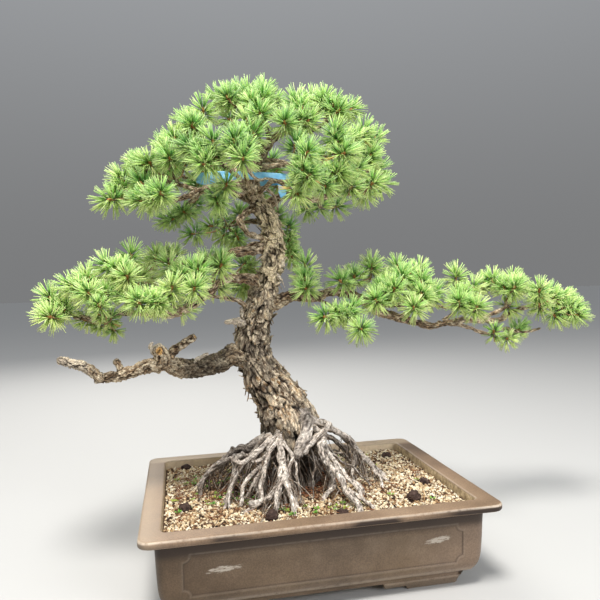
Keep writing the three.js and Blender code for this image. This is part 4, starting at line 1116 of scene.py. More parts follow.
trunk = {
    "run": [
        (-8, 3, 153, 40), (-8, 2, 163, 70), (-12, 0, 174, 84), (-17, 0, 191, 84), (-23, 0, 213, 77),
        (-34, 2, 236, 67), (-49, 4, 258, 60), (-58, 5, 277, 54), (-68, 6, 304, 49), (-69, 5, 320, 46),
        (-62, 3, 345, 44), (-56, 0, 365, 42), (-51, -2, 383, 37), (-45, -3, 405, 31),
        (-38, -3, 422, 31), (-35, -2, 440, 30), (-34, 0, 461, 28), (-35, 0, 478, 27),
        (-39, 0, 492, 28), (-48, 0, 505, 27), (-57, 0, 518, 24), (-64, 0, 531, 21), (-65, 0, 540, 17)],
    "spacing": 1.6,
    "around": 160,
    "lowScale": 16.0,
    "lowStretch": 2.3,
    "highScale": 11.5,
    "highStretch": 1.7,
    "scaleChange": (110.0, 190.0),
    # pale callused knots: place and radius
    "knots": ((-43, -8, 329, 5.0), (-48, -31, 224, 5.0), (-31, -12, 397, 4.5), (-22, -10, 429, 6.5)),
    # dark healed scars: place and radius
    "scars": ((-26, -38, 202, 8.0), (-8, -35, 222, 7.0), (-52, -26, 272, 6.0)),
    # painted shade on the trunk to the right of the bare branch and above it: place and radius
    "darker": ((-48, -14, 308, 12.0), (-44, -16, 286, 12.0), (-45, -8, 332, 9.0),
               (-63, -18, 386, 8.0), (-60, -18, 362, 8.0)),
    # heights between which each shade of bark comes in and goes out again
    # painted shade on the trunk's foot within the roots, below these heights
    "footShade": (206.0, 190.0),
    "middleDark": ((262.0, 290.0), (330.0, 305.0)),
    "blotched": ((215.0, 240.0), (395.0, 370.0)),
    "paleFoot": ((222.0, 210.0), (194.0, 206.0)),
    "fresher": (310.0, 340.0),
    # fresh bark at the top, paler still as painted light
    "freshestAndLit": (385.0, 415.0),
    "looseFlakes": 360,
    "flakeTilt": (0.12, 0.68),
    "flakeLength": (5.0, 13.0),
    "flakeWidth": (3.0, 8.0),
    "looseFrom": 30,  # stations without them at the foot and at the top
}

bareBranch = {
    "run": [
        (-64, 5, 306, 30), (-86, 2, 301, 29), (-121, -5, 290, 29), (-148, -10, 286, 26),
        (-174, -15, 288, 26), (-194, -20, 294, 20), (-214, -25, 293, 15.5), (-237, -30, 286, 16),
        (-257, -30, 282, 13), (-273, -30, 281, 12), (-283, -30, 290, 12), (-298, -30, 299, 11),
        (-312, -30, 303, 11.5), (-327, -30, 309, 10.4)],
    "stubs": [
        [(-247, -30, 283, 9), (-248, -30, 293, 8), (-251, -30, 300, 8), (-257, -30, 303.5, 7)],
        [(-195, -21, 290, 18), (-195, -24, 306, 19), (-203, -27, 320, 14)],
        [(-192, -20, 298, 13), (-185, -22, 306, 12), (-167, -25, 320, 11), (-149, -28, 331, 10.5)],
        [(-278, -30, 288, 9), (-278, -28, 275, 6)],
        [(-68, 0, 345, 17), (-88, -8, 348, 12), (-100, -15, 348, 8), (-109, -20, 347, 2.5)],
        [(-40, -6, 424, 11), (-20, -12, 427, 9)],
        [(-152, -14, 292, 5), (-146, -23, 300, 4.4), (-139, -26, 303.5, 4), (-132, -27, 306, 3.2)],
        [(-76, -2, 348, 11), (-83, -7, 358, 8), (-84, -8, 367, 2)],
        [(-36, -8, 414, 7), (-27, -15, 406, 5), (-22, -17, 394, 2)],
        [(-204, -26, 312, 8), (-208, -28, 320, 6), (-205, -30, 325, 2.5)]],
    "cleanFrom": 4,  # the stubs from here on have no bark
    "roundedStubs": (0, 4),
    # places along x between which the dark lichened bark begins, gets lighter by the trunk, and where
    # the outer end has lost its bark
    "dark": (-179.0, -157.0),
    "lighter": (-112.0, -84.0),
    "weathered": (-284.0, -292.0),
    "cut": ((-196, -35, 314, 6.4), (-149, -30, 331, 2.8)),  # fresh wood: place and radius
}

limbs = {
    "right": [
        (-50, 0, 372, 24), (-32, -2, 374, 20), (-10, -5, 379, 15), (21, -6, 378, 13), (44, -4, 384, 12),
        (64, 0, 383, 12), (108, 2, 363, 13.4), (130, 0, 350, 13.5), (157, -4, 341, 12),
        (197, -8, 333, 10.6), (235, -5, 338, 9.2), (263, 0, 340, 9.3), (288, 2, 338, 9.3),
        (324, 2, 336, 7.8), (353, 0, 350, 6.3), (375, -4, 358, 4.7), (404, -8, 361, 4)],
    "rightFork": [(286, 2, 338, 7), (320, -6, 350, 5.5), (340, -8, 364, 4)],
    "rightLower": [
        (215, -6, 334, 6), (259, 0, 327, 5.5), (301, 5, 313, 5), (340, 12, 319, 4.6),
        (366, 12, 311, 4.2), (396, 6, 318, 3.6)],
    "rightBack": [(108, 2, 363, 8), (150, 35, 362, 6), (205, 58, 360, 5), (255, 62, 356, 4)],
    "leftMain": [
        (-50, 0, 400, 21), (-77, -10, 409, 15), (-90, -15, 408, 13.5), (-111, -25, 401, 12),
        (-129, -35, 386, 11), (-162, -36, 370, 10), (-186, -32, 363, 9), (-217, -25, 366, 8.5),
        (-243, -20, 367, 8), (-279, -15, 361, 6.5), (-308, -12, 361, 4.6)],
    "leftFork": [(-217, -25, 366, 7), (-240, -12, 388, 5.4), (-266, -8, 400, 4)],
    "leftThin": [(-62, 0, 360, 9), (-85, -10, 374, 6), (-109, -15, 382, 5), (-131, -24, 386, 4)],
    "leftUpper": [
        (-38, 0, 452, 21), (-68, 0, 451, 15.5), (-85, 0, 448, 16), (-100, 5, 444, 12),
        (-114, 10, 441, 9), (-138, 20, 436, 7), (-166, 30, 434, 6), (-190, 40, 436, 5),
        (-214, 50, 424, 4)],
    "loopBranch": [
        (-52, 0, 508, 12), (-68, -7, 504, 10), (-82, -15, 490, 9), (-80, -24, 482, 8),
        (-73, -21, 472, 8), (-61, -12, 468, 8), (-44, -4, 462, 8)],
    "crownLeft": [
        (-60, 0, 522, 17), (-76, -8, 533, 12), (-102, -20, 536, 10), (-129, -35, 531, 9),
        (-148, -42, 523, 8), (-170, -46, 514, 6.5), (-186, -52, 510, 5)],
    "crownLeftFork": [(-140, -38, 527, 7), (-165, -22, 538, 6), (-195, -10, 546, 5), (-216, -6, 545, 4)],
    "crownLeftUnder": [(-129, -34, 530, 7), (-145, -5, 521, 5.5), (-158, 18, 512, 4)],
    "crownUpLeft": [
        (-64, 0, 533, 15), (-81, -5, 547, 9), (-88, 0, 560, 8), (-105, 0, 567, 7),
        (-118, 4, 584, 6), (-128, 0, 600, 4.6)],
    "crownUpper": [
        (-64, 0, 528, 20), (-60, 0, 562, 15), (-47, 0, 588, 13), (-35, -5, 603, 12),
        (-15, -10, 615, 11), (12, -18, 614, 9), (35, -24, 621, 7), (48, -27, 628, 5)],
    "crownFront": [
        (-64, -4, 526, 10), (-69, -28, 531, 8), (-75, -50, 539, 7), (-83, -72, 550, 6),
        (-88, -94, 553, 4.6)],
    "crownFrontRight": [(-58, -4, 524, 9), (-50, -30, 531, 7), (-40, -55, 536, 6), (-24, -82, 530, 4.6)],
    "crownRightMiddle": [(-58, 0, 563, 9), (-34, -20, 564, 7), (0, -42, 563, 6), (26, -62, 558, 4.6)],
    "crownRightBack": [(-50, 0, 577, 9), (-30, 14, 578, 7.5), (0, 40, 580, 6.5), (50, 66, 582, 5)],
    "crownRightLow": [
        (-48, 0, 508, 15), (-23, -6, 522, 11), (7, -28, 520, 9), (25, -40, 516, 8.5),
        (45, -44, 521, 8), (72, -38, 523, 7), (96, -22, 530, 5)],
    "crownRightUnder": [(25, -38, 516, 7), (33, -14, 511, 5.6), (39, 4, 509, 4.2)],
    "crownBackLeft": [
        (-56, 4, 520, 13), (-74, 30, 529, 10), (-100, 58, 546, 8), (-130, 80, 562, 6.5),
        (-158, 84, 566, 5)],
    "crownBack": [(-54, 4, 572, 12), (-46, 50, 577, 9), (-45, 90, 583, 7), (-46, 112, 588, 5)],
    "crownTopBack": [(-46, 0, 590, 10), (-50, 28, 622, 7), (-46, 42, 645, 5)],
    "crownTop": [(-34, -5, 603, 8), (-42, -12, 624, 6), (-46, -16, 638, 4.6)],
    "backMiddle": [(-36, 3, 470, 10), (-24, 24, 468, 7), (-14, 38, 464, 5)],
    "backLoop": [(-40, 4, 490, 10), (-64, 28, 492, 7), (-84, 44, 490, 5)],
    "leftInner": [(-44, 4, 400, 10), (-58, 30, 402, 7), (-66, 44, 401, 5)],
}

# Thin leafless twigs of the scene's own, in front of the strap and beside the trunk's top
leaflessTwigs = [
    [(-87, -110, 549, 3.6), (-78, -98, 540, 4), (-66, -84, 534, 4), (-47, -70, 537, 4), (-31, -62, 533, 4),
     (-18, -60, 525, 3.4)],
    [(-70, -10, 534, 10), (-77, -24, 539, 8), (-88, -45, 546, 7), (-99, -62, 550, 6), (-114, -82, 556, 5),
     (-122, -96, 562, 4)],
    [(-112, -80, 554, 4.4), (-110, -92, 560, 4), (-107, -98, 564, 3.4)],
    [(-54, -8, 536, 5), (-47, -18, 533, 4.4), (-39, -24, 525, 4), (-32, -26, 515, 4), (-30, -24, 501, 3)],
]

# Roots as a diameter at each end and the points between
roots = [
    (11, 8, (20, -34, 190), (18, -51, 172), (20, -69, 154), (28, -86, 141), (40, -110, 124),
     (49, -137, 106)),
    (7, 6, (20, -58, 158), (26, -60, 137), (27, -58, 120), (21, -57, 107)),
    (7, 5, (22, -44, 176), (38, -53, 148), (47, -63, 133), (60, -75, 120), (60, -84, 107)),
    (6, 5, (38, -104, 128), (56, -114, 115), (74, -122, 105)),
    (10, 7, (34, -8, 190), (55, -4, 178), (73, -2, 166), (83, -1, 150), (82, 2, 130), (75, 3, 107)),
    (8, 6, (70, 2, 168), (89, -2, 141), (105, -11, 127), (126, -25, 106)),
    (5, 4, (100, -8, 131), (105, -36, 117), (102, -62, 105)),
    (9, 6, (32, 18, 182), (54, 19, 177), (72, 17, 163), (88, 15, 143), (101, 12, 106)),
    (10, 8, (-35, -33, 196), (-39, -51, 173), (-39, -65, 154), (-36, -79, 136), (-29, -106, 106)),
    (9, 6.5, (-34, -32, 198), (-52, -36, 176), (-58, -37, 158), (-64, -39, 130), (-63, -40, 107)),
    (5.5, 5, (-33, -34, 188), (-20, -18, 155), (-22, -2, 128), (-25, 5, 108)),
    (7, 6, (-39, -60, 162), (-46, -80, 140), (-59, -110, 105)),
    (14, 7, (-46, 0, 178), (-62, 5, 173), (-75, 14, 161), (-87, 20, 162), (-104, 30, 145),
     (-125, 45, 129), (-146, 58, 106)),
    (7, 5.5, (-97, 28, 158), (-113, 5, 148), (-138, 6, 126), (-150, 10, 105)),
    (8, 7, (-48, -26, 190), (-67, -14, 171), (-79, -3, 154), (-100, 16, 152)),
    (6, 5, (-86, 4, 156), (-98, -18, 151), (-104, -37, 135), (-120, -70, 105)),
    (6, 5, (-56, -36, 164), (-74, -48, 145), (-92, -58, 130), (-99, -79, 106)),
    (10, 7, (-38, 22, 184), (-60, 56, 156), (-76, 88, 124), (-84, 106, 105)),
    (11, 7, (-15, 34, 188), (-20, 70, 154), (-18, 100, 124), (-14, 120, 105)),
    (10, 7, (14, 30, 184), (34, 64, 152), (46, 92, 122), (54, 108, 105)),
    (9, 6, (26, 22, 180), (60, 46, 155), (86, 68, 127), (100, 80, 105)),
    (8, 6, (-46, 14, 180), (-80, 48, 150), (-106, 78, 122), (-120, 92, 104)),
]
# Thick ones straight down under the trunk, dark in its shade
innerRoots = [
    (17, 12, (-18, 5, 162), (-26, 14, 130), (-32, 22, 108)),
    (15, 11, (6, 5, 162), (19, 12, 130), (30, 20, 108)),
    (13, 10, (-2, -14, 162), (5, -28, 130), (8, -38, 108)),
    (14, 10, (-5, 20, 166), (-6, 42, 132), (-10, 56, 108)),
]
# Finer roots between them
thinRoots = [
    (4.5, 4, (78, 0, 133), (70, -20, 118), (77, -50, 107)),
    (4.6, 4, (-103, -36, 136), (-112, -58, 119), (-113, -78, 105)),
    (5, 4.5, (-38, -70, 147), (-40, -78, 127), (-39, -85, 107)),
    (5, 4, (2, -22, 160), (0, -12, 135), (3, 0, 109)),
    (4.5, 4, (-66, -46, 142), (-84, -52, 120), (-101, -55, 106)),
    (7, 6, (-47, -80, 134), (-70, -83, 119), (-103, -93, 106)),
    (6, 5, (-57, -38, 152), (-74, -53, 136), (-76, -58, 123), (-71, -68, 107)),
    (18, 16, (4, -36, 207), (-1, -43, 196), (-9, -46, 181), (-15, -46, 167), (-13, -42, 157)),
    (10, 8, (31, -34, 197), (16, -44, 185), (-1, -48, 174), (-8, -48, 163)),
    (6, 5, (-103, -40, 163), (-92, -46, 156), (-82, -48, 161), (-70, -44, 171), (-52, -32, 186)),
    (5, 4, (-106, -28, 162), (-100, -40, 147), (-103, -46, 134), (-115, -52, 120), (-120, -56, 103)),
    (7, 6, (-30, -34, 192), (-45, -44, 180), (-58, -54, 166), (-68, -66, 146), (-72, -88, 106)),
    (8, 6, (-30, -36, 190), (-40, -52, 168), (-39, -70, 152), (-38, -92, 135), (-33, -122, 105)),
    (6, 5, (-40, -74, 148), (-55, -100, 128), (-60, -124, 104)),
    (6, 4, (-34, -44, 182), (-26, -54, 165), (-33, -66, 150), (-30, -72, 134)),
    (7, 6, (27, -58, 142), (29, -70, 124), (14, -80, 113), (4, -84, 104)),
    (6, 5, (28, -48, 160), (43, -58, 141), (50, -64, 127), (66, -72, 116), (62, -80, 103)),
    (6, 5, (82, -4, 150), (106, -2, 126), (125, -4, 110), (134, -8, 103)),
    (8, 6, (-110, 6, 152), (-122, 0, 143), (-142, -4, 129), (-150, -8, 104)),
    (7, 6, (-58, -38, 181), (-72, -46, 168), (-78, -44, 160), (-66, -46, 160), (-60, -52, 168)),
    (8, 7, (-86, -84, 113), (-74, -91, 120), (-60, -98, 127)),
]
rooting = {
    "trunkFoot": 178.0,
    "heart": (-14.0, 0.0),
    "endHeight": 95.0,
    "soilTop": 112.0,  # roots that end lower than this go on down to the end height
    "middling": 58,
    "middlingReach": (24.0, 70.0),
    "middlingWidth": (1.6, 4.0),
    "middlingTop": (156.0, 188.0),
    "rootlets": 420,
    "rootletWidth": (0.8, 1.9),
    "rootletSpread": 14.0,
    "rootletLow": 118.0,  # none start lower than this
    # places between which roots get darker: y towards the back, x to the left, z up to the bark
    "backDark": (-30.0, 30.0),
    "leftDark": (-50.0, -90.0),
    "topDark": (196.0, 209.0),
    # old soil under the trunk, dark all over as painted shade in the hollow: middle x and y
    "shadedClod": (-8.0, 10.0),
    "shadedClodRings": ((98, 84), (118, 78), (140, 66), (168, 50)),  # height and width
    "hollow": (-95.0, -20.0),  # directions in degrees from +X that stay open, in front on the right
    "opening": (-12.0, 66.0, -6.0),  # x from and to, and y in front of which few hair roots hang
}


def flakes(x, y, z, width, stretch, warp, seed):
    # One layer of bark scales: the crevice at a scale's edge, the worn lip beside it, how far the scale
    # stands up there (its own number, and more towards its lower end), and its own number.
    sizes = (width, width, width * stretch)
    places = (value / size + shift for value, size, shift in zip((x, y, z), sizes, warp))
    gap, tone, lean = plates(*places, seed)
    rise = np.clip(0.5 + 1.3 * (tone - 0.5) - 0.6 * lean, 0, 1)
    return bell(gap, 0.0, 0.13), bell(gap, 0.22, 0.12), rise, tone


def barkOf(width, stretch, depth, seed):
    # Flaking bark: scales that overlap like shingles, smaller ones on them, and fibres, all on the
    # limb laid out straight. Low edges are dark crevices and high ones are worn pale.
    def relief(x, y, z):
        warp = [(softNoise(x / (0.6 * width), y / (0.6 * width), z / width, seed + k) - 0.5) * 0.9
                for k in (0, 1, 2)]
        edge, lip, rise, tone = flakes(x, y, z, width, stretch, warp, seed + 3)
        edge2, lip2, rise2, tone2 = flakes(x, y, z, 0.42 * width, 1.1 * stretch, warp[::-1], seed + 9)
        fibre = softNoise(x / (0.13 * width), y / (0.13 * width), z / (0.5 * width), seed + 15) - 0.5
        height = 1.3 * (rise - 0.5) + 0.7 * (rise2 - 0.5) + 0.45 * fibre
        height = height - 0.9 * edge * (1 - rise) - 0.5 * edge2 * (1 - rise2)
        return {
            "depth": depth * height,
            "crack": np.clip(edge * (1.2 - rise) + 0.8 * edge2 * (1.1 - rise2), 0, 1),
            "edge": np.clip(0.95 * lip * rise + 0.6 * lip2 * rise2, 0, 1),
            "tone": 0.55 * tone + 0.45 * tone2,
        }
    return relief


def swelling(relief, size, share, seed):
    # The same bark over low lumps, a share of the radius high, so that the limb isn't round.
    def swollen(x, y, z):
        made = relief(x, y, z)
        lump = softNoise(x / size, y / size, z / size, seed) - 0.5
        made["depth"] = made["depth"] + 2 * share * np.hypot(x, y) * lump
        return made
    return swollen


def grow(surface, run, spacing, around, bark, lumps, **values):
    # A limb with bark of the given scale width, stretch, depth and seed over lumps of the given size,
    # share and seed, not dimmed and not pale unless told so.
    relief = swelling(barkOf(*bark), *lumps)
    limbSurface(surface, run, spacing, around, relief, **{"dim": 0.0, "pale": 0.0, **values})


def swayed(run, amount, wave, seed):
    # The run with a slow wander added, none at its two ends: offset = amount times soft noise along it.
    line = centripetal(run, 6)
    steps = np.linalg.norm(np.diff(line[:, :3], axis=0), axis=1)
    along = np.concatenate([[0], np.cumsum(steps)])
    ends = fade(along, 0, wave) * fade(along[-1] - along, 0, wave)
    wander = np.stack([softNoise(along / wave, 0 * along + k * 9.7, 0 * along, seed) - 0.5
                       for k in (1, 2, 3)], axis=1)
    moved = line.copy()
    moved[:, :3] += 2 * amount * wander * ends[:, None]
    return moved[np.unique(np.append(np.arange(0, len(line), 2), len(line) - 1))]


def trunkSurface():
    # The trunk's limb with its knots pushed outwards, its shades, and the loose plates on it.
    surface = Surface()
    broad = barkOf(trunk["lowScale"], trunk["lowStretch"], 3.3, 51)
    small = barkOf(trunk["highScale"], trunk["highStretch"], 3.0, 61)

    def blended(x, y, z):
        # Broad plates low down give way to small thick flakes, and the foot is fluted into the roots.
        share = fade(z, *trunk["scaleChange"])
        low, high = broad(x, y, z), small(x, y, z)
        made = {name: low[name] * (1 - share) + high[name] * share for name in low}
        flute = softNoise(x / 13, y / 13, z / 60, 83) - 0.5
        made["depth"] = made["depth"] + 9.0 * flute * fade(z, 105, 15)
        return made

    relief = swelling(swelling(blended, 24.0, 0.08, 71), 9.0, 0.03, 73)
    holder = Surface()
    rings = limbSurface(holder, trunk["run"], trunk["spacing"], trunk["around"], relief, rounded=False)
    points = holder.points[0]
    knot = nearness(points, trunk["knots"])
    for x, y, z, radius in trunk["knots"]:
        away = points - np.array([x, y, z])
        share = bell(np.linalg.norm(away, axis=1), 0.0, radius)
        points = points + unit(away * [1, 1, 0.3]) * (share * 0.55 * radius)[:, None]
    values = {name: parts[0] for name, parts in holder.values.items()}
    values.update(trunkShades(points))
    values["pale"] = np.maximum(values["pale"], fade(knot, 0.35, 0.8))
    surface.add(points, [group for group, _ in holder.faces], **values)
    addLooseFlakes(surface, rings)
    return surface


def nearness(points, spots):
    # 1 at the middle of a spot, falling as exp(-(distance/radius)^2), the most of all the spots.
    most = np.zeros(len(points))
    for x, y, z, radius in spots:
        away = np.linalg.norm(points - np.array([x, y, z]), axis=1)
        most = np.maximum(most, bell(away, 0.0, radius))
    return most


def trunkShades(points):
    # Pale above the roots, painted shade under them and to the right of the bare branch, dark in
    # blotches, scars and where the bare branch leaves, and fresher bark above, paler still at the top as
    # painted light.
    high = points[:, 2] + 22 * (softNoise(*(points / 15).T, 91) - 0.5)

    def within(rise, fall):
        return fade(high, *rise) * fade(high, *fall)

    middle = 0.4 * within(*trunk["middleDark"])
    blotches = 0.62 * fade(softNoise(*(points / 10).T, 92), 0.5, 0.62) * within(*trunk["blotched"])
    scar = 0.8 * fade(nearness(points, trunk["scars"]), 0.3, 0.6)
    # Painted shade to the right of the bare branch and above it.
    darker = 0.85 * fade(nearness(points, trunk["darker"]), 0.25, 0.7)
    return {
        "pale": 0.35 * within(*trunk["paleFoot"]),
        # dark in places, and painted shade on the foot and beside the bare branch
        "dim": np.max([middle, blotches, fade(high, *trunk["footShade"]), scar, darker], axis=0),
        # fresher bark above, paler still at the top as painted light
        "fresh": 0.12 * fade(high, *trunk["fresher"]) + 0.88 * fade(high, *trunk["freshestAndLit"]),
    }


def addLooseFlakes(surface, rings):
    # Loose bark: six-sided curled plates, one end under the bark and the other lifted, mostly downwards.
    # A plate's point is base + u length ahead + v width across + 0.2 u^2 length normal.
    random = np.random.default_rng(97)
    count = trunk["looseFlakes"]
    row = random.integers(trunk["looseFrom"], len(rings) - trunk["looseFrom"], count)
    column = random.integers(0, rings.shape[1], count)
    centre = rings.mean(axis=1)
    out = unit(rings[row, column] - centre[row])
    along = unit(centre[row + 1] - centre[row]) * random.choice([-1.0, -1.0, 1.0], count)[:, None]
    across = np.cross(along, out)
    tilt = random.uniform(*trunk["flakeTilt"], count)[:, None]
    ahead = along * np.cos(tilt) + out * np.sin(tilt)
    normal = out * np.cos(tilt) - along * np.sin(tilt)
    outline = np.array([(0, -0.5), (0, 0.5), (0.5, 0.6), (1, 0.3), (1, -0.25), (0.45, -0.6)])
    plate = outline + random.uniform(-0.14, 0.14, (count, 6, 2))
    length, width = (random.uniform(*trunk[size], (count, 1)) for size in ("flakeLength", "flakeWidth"))
    u, v = (plate[..., 0] * length)[..., None], (plate[..., 1] * width)[..., None]
    base = rings[row, column] - 0.9 * out
    flat = (base[:, None] + u * ahead[:, None] + v * across[:, None]
            + 0.2 * u * plate[..., :1] * normal[:, None])
    half = 0.4 * normal[:, None]
    points = np.concatenate([flat + half, flat - half], axis=1)
    k, n = roundSteps(6)
    sides = np.stack([6 + k, 6 + n, n, k], axis=1)
    faces = repeated([np.array([k, 6 + k[::-1]]), sides], count, 12)
    ends = np.tile(outline[:, 0], (count, 2))
    flat = points.reshape(-1, 3)
    surface.add(flat, faces, tone=np.repeat(random.uniform(0, 1, count), 12), edge=0.8 * (ends > 0.9),
                crack=0.7 * (ends < 0.1), runX=np.tile(v[..., 0], (1, 2)), runY=np.repeat(7.0 * row, 12),
                runZ=np.tile(u[..., 0], (1, 2)), **trunkShades(flat))


def bareSurface():
    # The branch and its broken stubs, some with bark and a pale cut end and some of clean wood.
    surface = Surface()

    def dim(rings, along):
        x = rings[..., 0]
        return fade(x, *bareBranch["dark"]) * (0.92 - 0.42 * fade(x, *bareBranch["lighter"]))

    def weathered(rings, along):
        return 0.75 * fade(rings[..., 0], *bareBranch["weathered"])

    def fresh(rings, along):
        return fade(nearness(rings.reshape(-1, 3), bareBranch["cut"]), 0.35, 0.6).reshape(rings.shape[:2])

    def cutEnd(rings, along):
        return fade(along, along.max() - 2.4, along.max() - 1.2) * 0.9

    relief = swelling(swelling(barkOf(6.5, 1.5, 1.9, 131), 13.0, 0.2, 137), 5.0, 0.12, 139)
    limbSurface(surface, bareBranch["run"], 1.6, 64, relief, flare=0.25, dim=dim, pale=weathered)
    for i, stub in enumerate(bareBranch["stubs"]):
        bare = i >= bareBranch["cleanFrom"]
        skin = {"pale": 1.0, "crack": 0.0} if bare else {"pale": cutEnd}
        grow(surface, stub, 1.4, 36 if stub[0][3] > 6 else 16, (5.0, 2.0, 1.2, 151 + i), (7.0, 0.3, 161 + i),
             flare=0.3, rounded=i in bareBranch["roundedStubs"], cut=fresh, **skin)
    return surface


def branchSurface():
    # Living limbs, leafless twigs, and the twig that carries each spray.
    surface = Surface()
    for i, run in enumerate(limbs.values()):
        thick = run[0][3]
        around = int(np.clip(9 + 1.2 * thick, 12, 36))
        grow(surface, swayed(run, 0.22 * thick, 34.0, 330 + i), 2.3 if thick > 9 else 3.0, around,
             (3.0 + 0.24 * thick, 1.8, 0.4 + 0.05 * thick, 211 + 7 * i), (9.0, 0.2, 300 + i), flare=0.35)
    for i, run in enumerate(leaflessTwigs):
        grow(surface, swayed(run, 1.2, 14.0, 661 + i), 2.6, 12, (3.4, 1.8, 0.4, 641 + i),
             (7.0, 0.2, 651 + i), flare=0.3, pale=0.3)
    for plan in sprayPlans:
        grow(surface, plan["twig"], 4.0, 8, (3.4, 1.8, 0.3, 611), (8.0, 0.15, 617), flare=0.4)
    return surface


def rootRun(thick, thin, *path):
    # A start inside the trunk where the root grows from it, and an end under the soil.
    points = [np.array(p, dtype=float) for p in path]
    if points[0][2] > rooting["trunkFoot"]:
        heart = np.array([*rooting["heart"], 0.0])
        inside = (points[0] + heart) / 2
        inside[2] = points[0][2] + 8
        points.insert(0, inside)
    if points[-1][2] < rooting["soilTop"]:
        before, end = points[-2], points[-1]
        share = 0.3 * (end[2] - rooting["endHeight"]) / (before[2] - end[2])
        points[-1] = np.array([*(end[:2] + share * (end[:2] - before[:2])), rooting["endHeight"]])
    widths = np.linspace(thick, thin, len(points))
    return [(*point, width) for point, width in zip(points, widths)]


def rootSurface():
    # The roots by their lists, the inner ones dark as painted shade, then the middling ones, the hair roots
    # and the clod, dark as painted shade.
    surface = Surface()
    random = np.random.default_rng(40)
    shown = roots + thinRoots
    for i, row in enumerate(shown + innerRoots):
        thick = row[0]
        if i < len(shown):
            skin = {"dim": behind, "pale": 1.0 if thick > 16 else random.uniform(0.4, 1.0)}
        else:
            skin = {"dim": 1.0, "crack": 0.6}
        run = swayed(rootRun(*row), 1.6 + 0.2 * thick, 18.0, 470 + i)
        grow(surface, run, 2.6, int(np.clip(7 + 0.9 * thick, 9, 20)),
             (3.0 + 0.22 * thick, 2.6, 0.2 + 0.025 * thick, 401 + 5 * i), (7.0, 0.22, 450 + i),
             flare=0.5, **skin)
    addMiddling(surface)
    addRootlets(surface)
    addShadedClod(surface)
    return surface


def addShadedClod(surface):
    # Old soil held by the roots beneath the trunk, dark all over as painted shade in the hollow: a rough
    # cone from the grit up into the trunk's foot.
    run = [(*rooting["shadedClod"], z, width) for z, width in rooting["shadedClodRings"]]
    grow(surface, run, 3.0, 56, (6.0, 1.0, 2.4, 701), (13.0, 0.13, 703), dim=1.0, crack=0.6)


def behind(rings, along):
    # Roots at the back and far left are darker, and so are their tops where the trunk's bark ends.
    back, left, top = (fade(rings[..., axis], *rooting[name]) for axis, name in (
        (1, "backDark"), (0, "leftDark"), (2, "topDark")))
    return np.clip(0.75 * back + 0.3 * left + 0.8 * top, 0, 0.85)


def addMiddling(surface):
    # Middling roots all round the trunk's foot: each arches out by t^0.8 of its reach and falls by
    # t^1.7 of its height, with a wander, and few of them stand before the hollow.
    random = np.random.default_rng(41)
    count = rooting["middling"]
    heartX, heartY = rooting["heart"]
    for i in range(count):
        way = 2 * np.pi * (i + random.uniform(-0.4, 0.4)) / count
        reach = random.uniform(*rooting["middlingReach"]) * (1 + 0.4 * abs(np.cos(way)))
        width = random.uniform(*rooting["middlingWidth"])
        top = random.uniform(*rooting["middlingTop"])
        turn = random.uniform(-0.5, 0.5)
        low, high = rooting["hollow"]
        if low < np.degrees(way) - 360 < high and random.uniform() < 0.95:
            continue
        t = np.linspace(0, 1, 7)
        radius = 18 + (12 + reach) * t**0.8
        x = heartX + radius * np.cos(way + turn * t)
        y = heartY + 0.9 * radius * np.sin(way + turn * t)
        ground = soilHeight(x[-1], y[-1]) - 4
        z = top + (ground - top) * t**1.7
        run = np.stack([x, y, z, width * (1.25 - 0.5 * t)], axis=1)
        grow(surface, swayed(run, 3.6, 15.0, 600 + i), 3.4, 7, (3.4, 2.4, 0.3, 501 + i),
             (6.0, 0.22, 560 + i), flare=0.6, dim=random.uniform(0.3, 1.0), pale=random.uniform(0.0, 0.4))


def smoothBark(x, y, z):
    # Relief for the hair roots, which have none.
    return {"depth": 0 * x, "crack": 0 * x, "edge": 0 * x, "tone": 0 * x + 0.5}


def addRootlets(surface):
    # Hair roots from the thick ones down to the soil, each a short wandering run.
    random = np.random.default_rng(43)
    lines = [followRun(rootRun(*row), 6.0)["centre"] for row in roots + thinRoots]
    left, right, front = rooting["opening"]
    for _ in range(rooting["rootlets"]):
        line = lines[random.integers(len(lines))]
        high = line[line[:, 2] > rooting["rootletLow"]]
        if len(high) < 2:
            continue
        start = high[random.integers(len(high))]
        beforeHollow = left < start[0] < right and start[1] < front
        if beforeHollow and random.uniform() < 0.8:
            continue
        away = random.normal(size=2) * rooting["rootletSpread"]
        ground = soilHeight(start[0] + away[0], start[1] + away[1]) - 2
        width = random.uniform(*rooting["rootletWidth"])
        stations = np.linspace(0, 1, 5)
        wander = np.cumsum(random.normal(size=(5, 2)) * 3.2, axis=0) * stations[:, None]
        run = [(start[0] + away[0] * t + sway[0], start[1] + away[1] * t + sway[1],
                start[2] + (ground - start[2]) * t**1.3, width * (1 - 0.3 * t))
               for t, sway in zip(stations, wander)]
        limbSurface(surface, run, 5.5, 4, smoothBark, dim=random.uniform(0.3, 0.9), pale=0.0)


def ringBands(tree, depth):
    # Fine light and dark rings across a root: noise that changes quickly along it and slowly round it.
    rings = noise(tree, laidOut(tree, 0.12, 0.45), 1.0, 3.0, 0.6)["Fac"]
    return between(tree, rings, 0.35, 0.65, 1.0 - depth, 1.0 + 0.5 * depth)


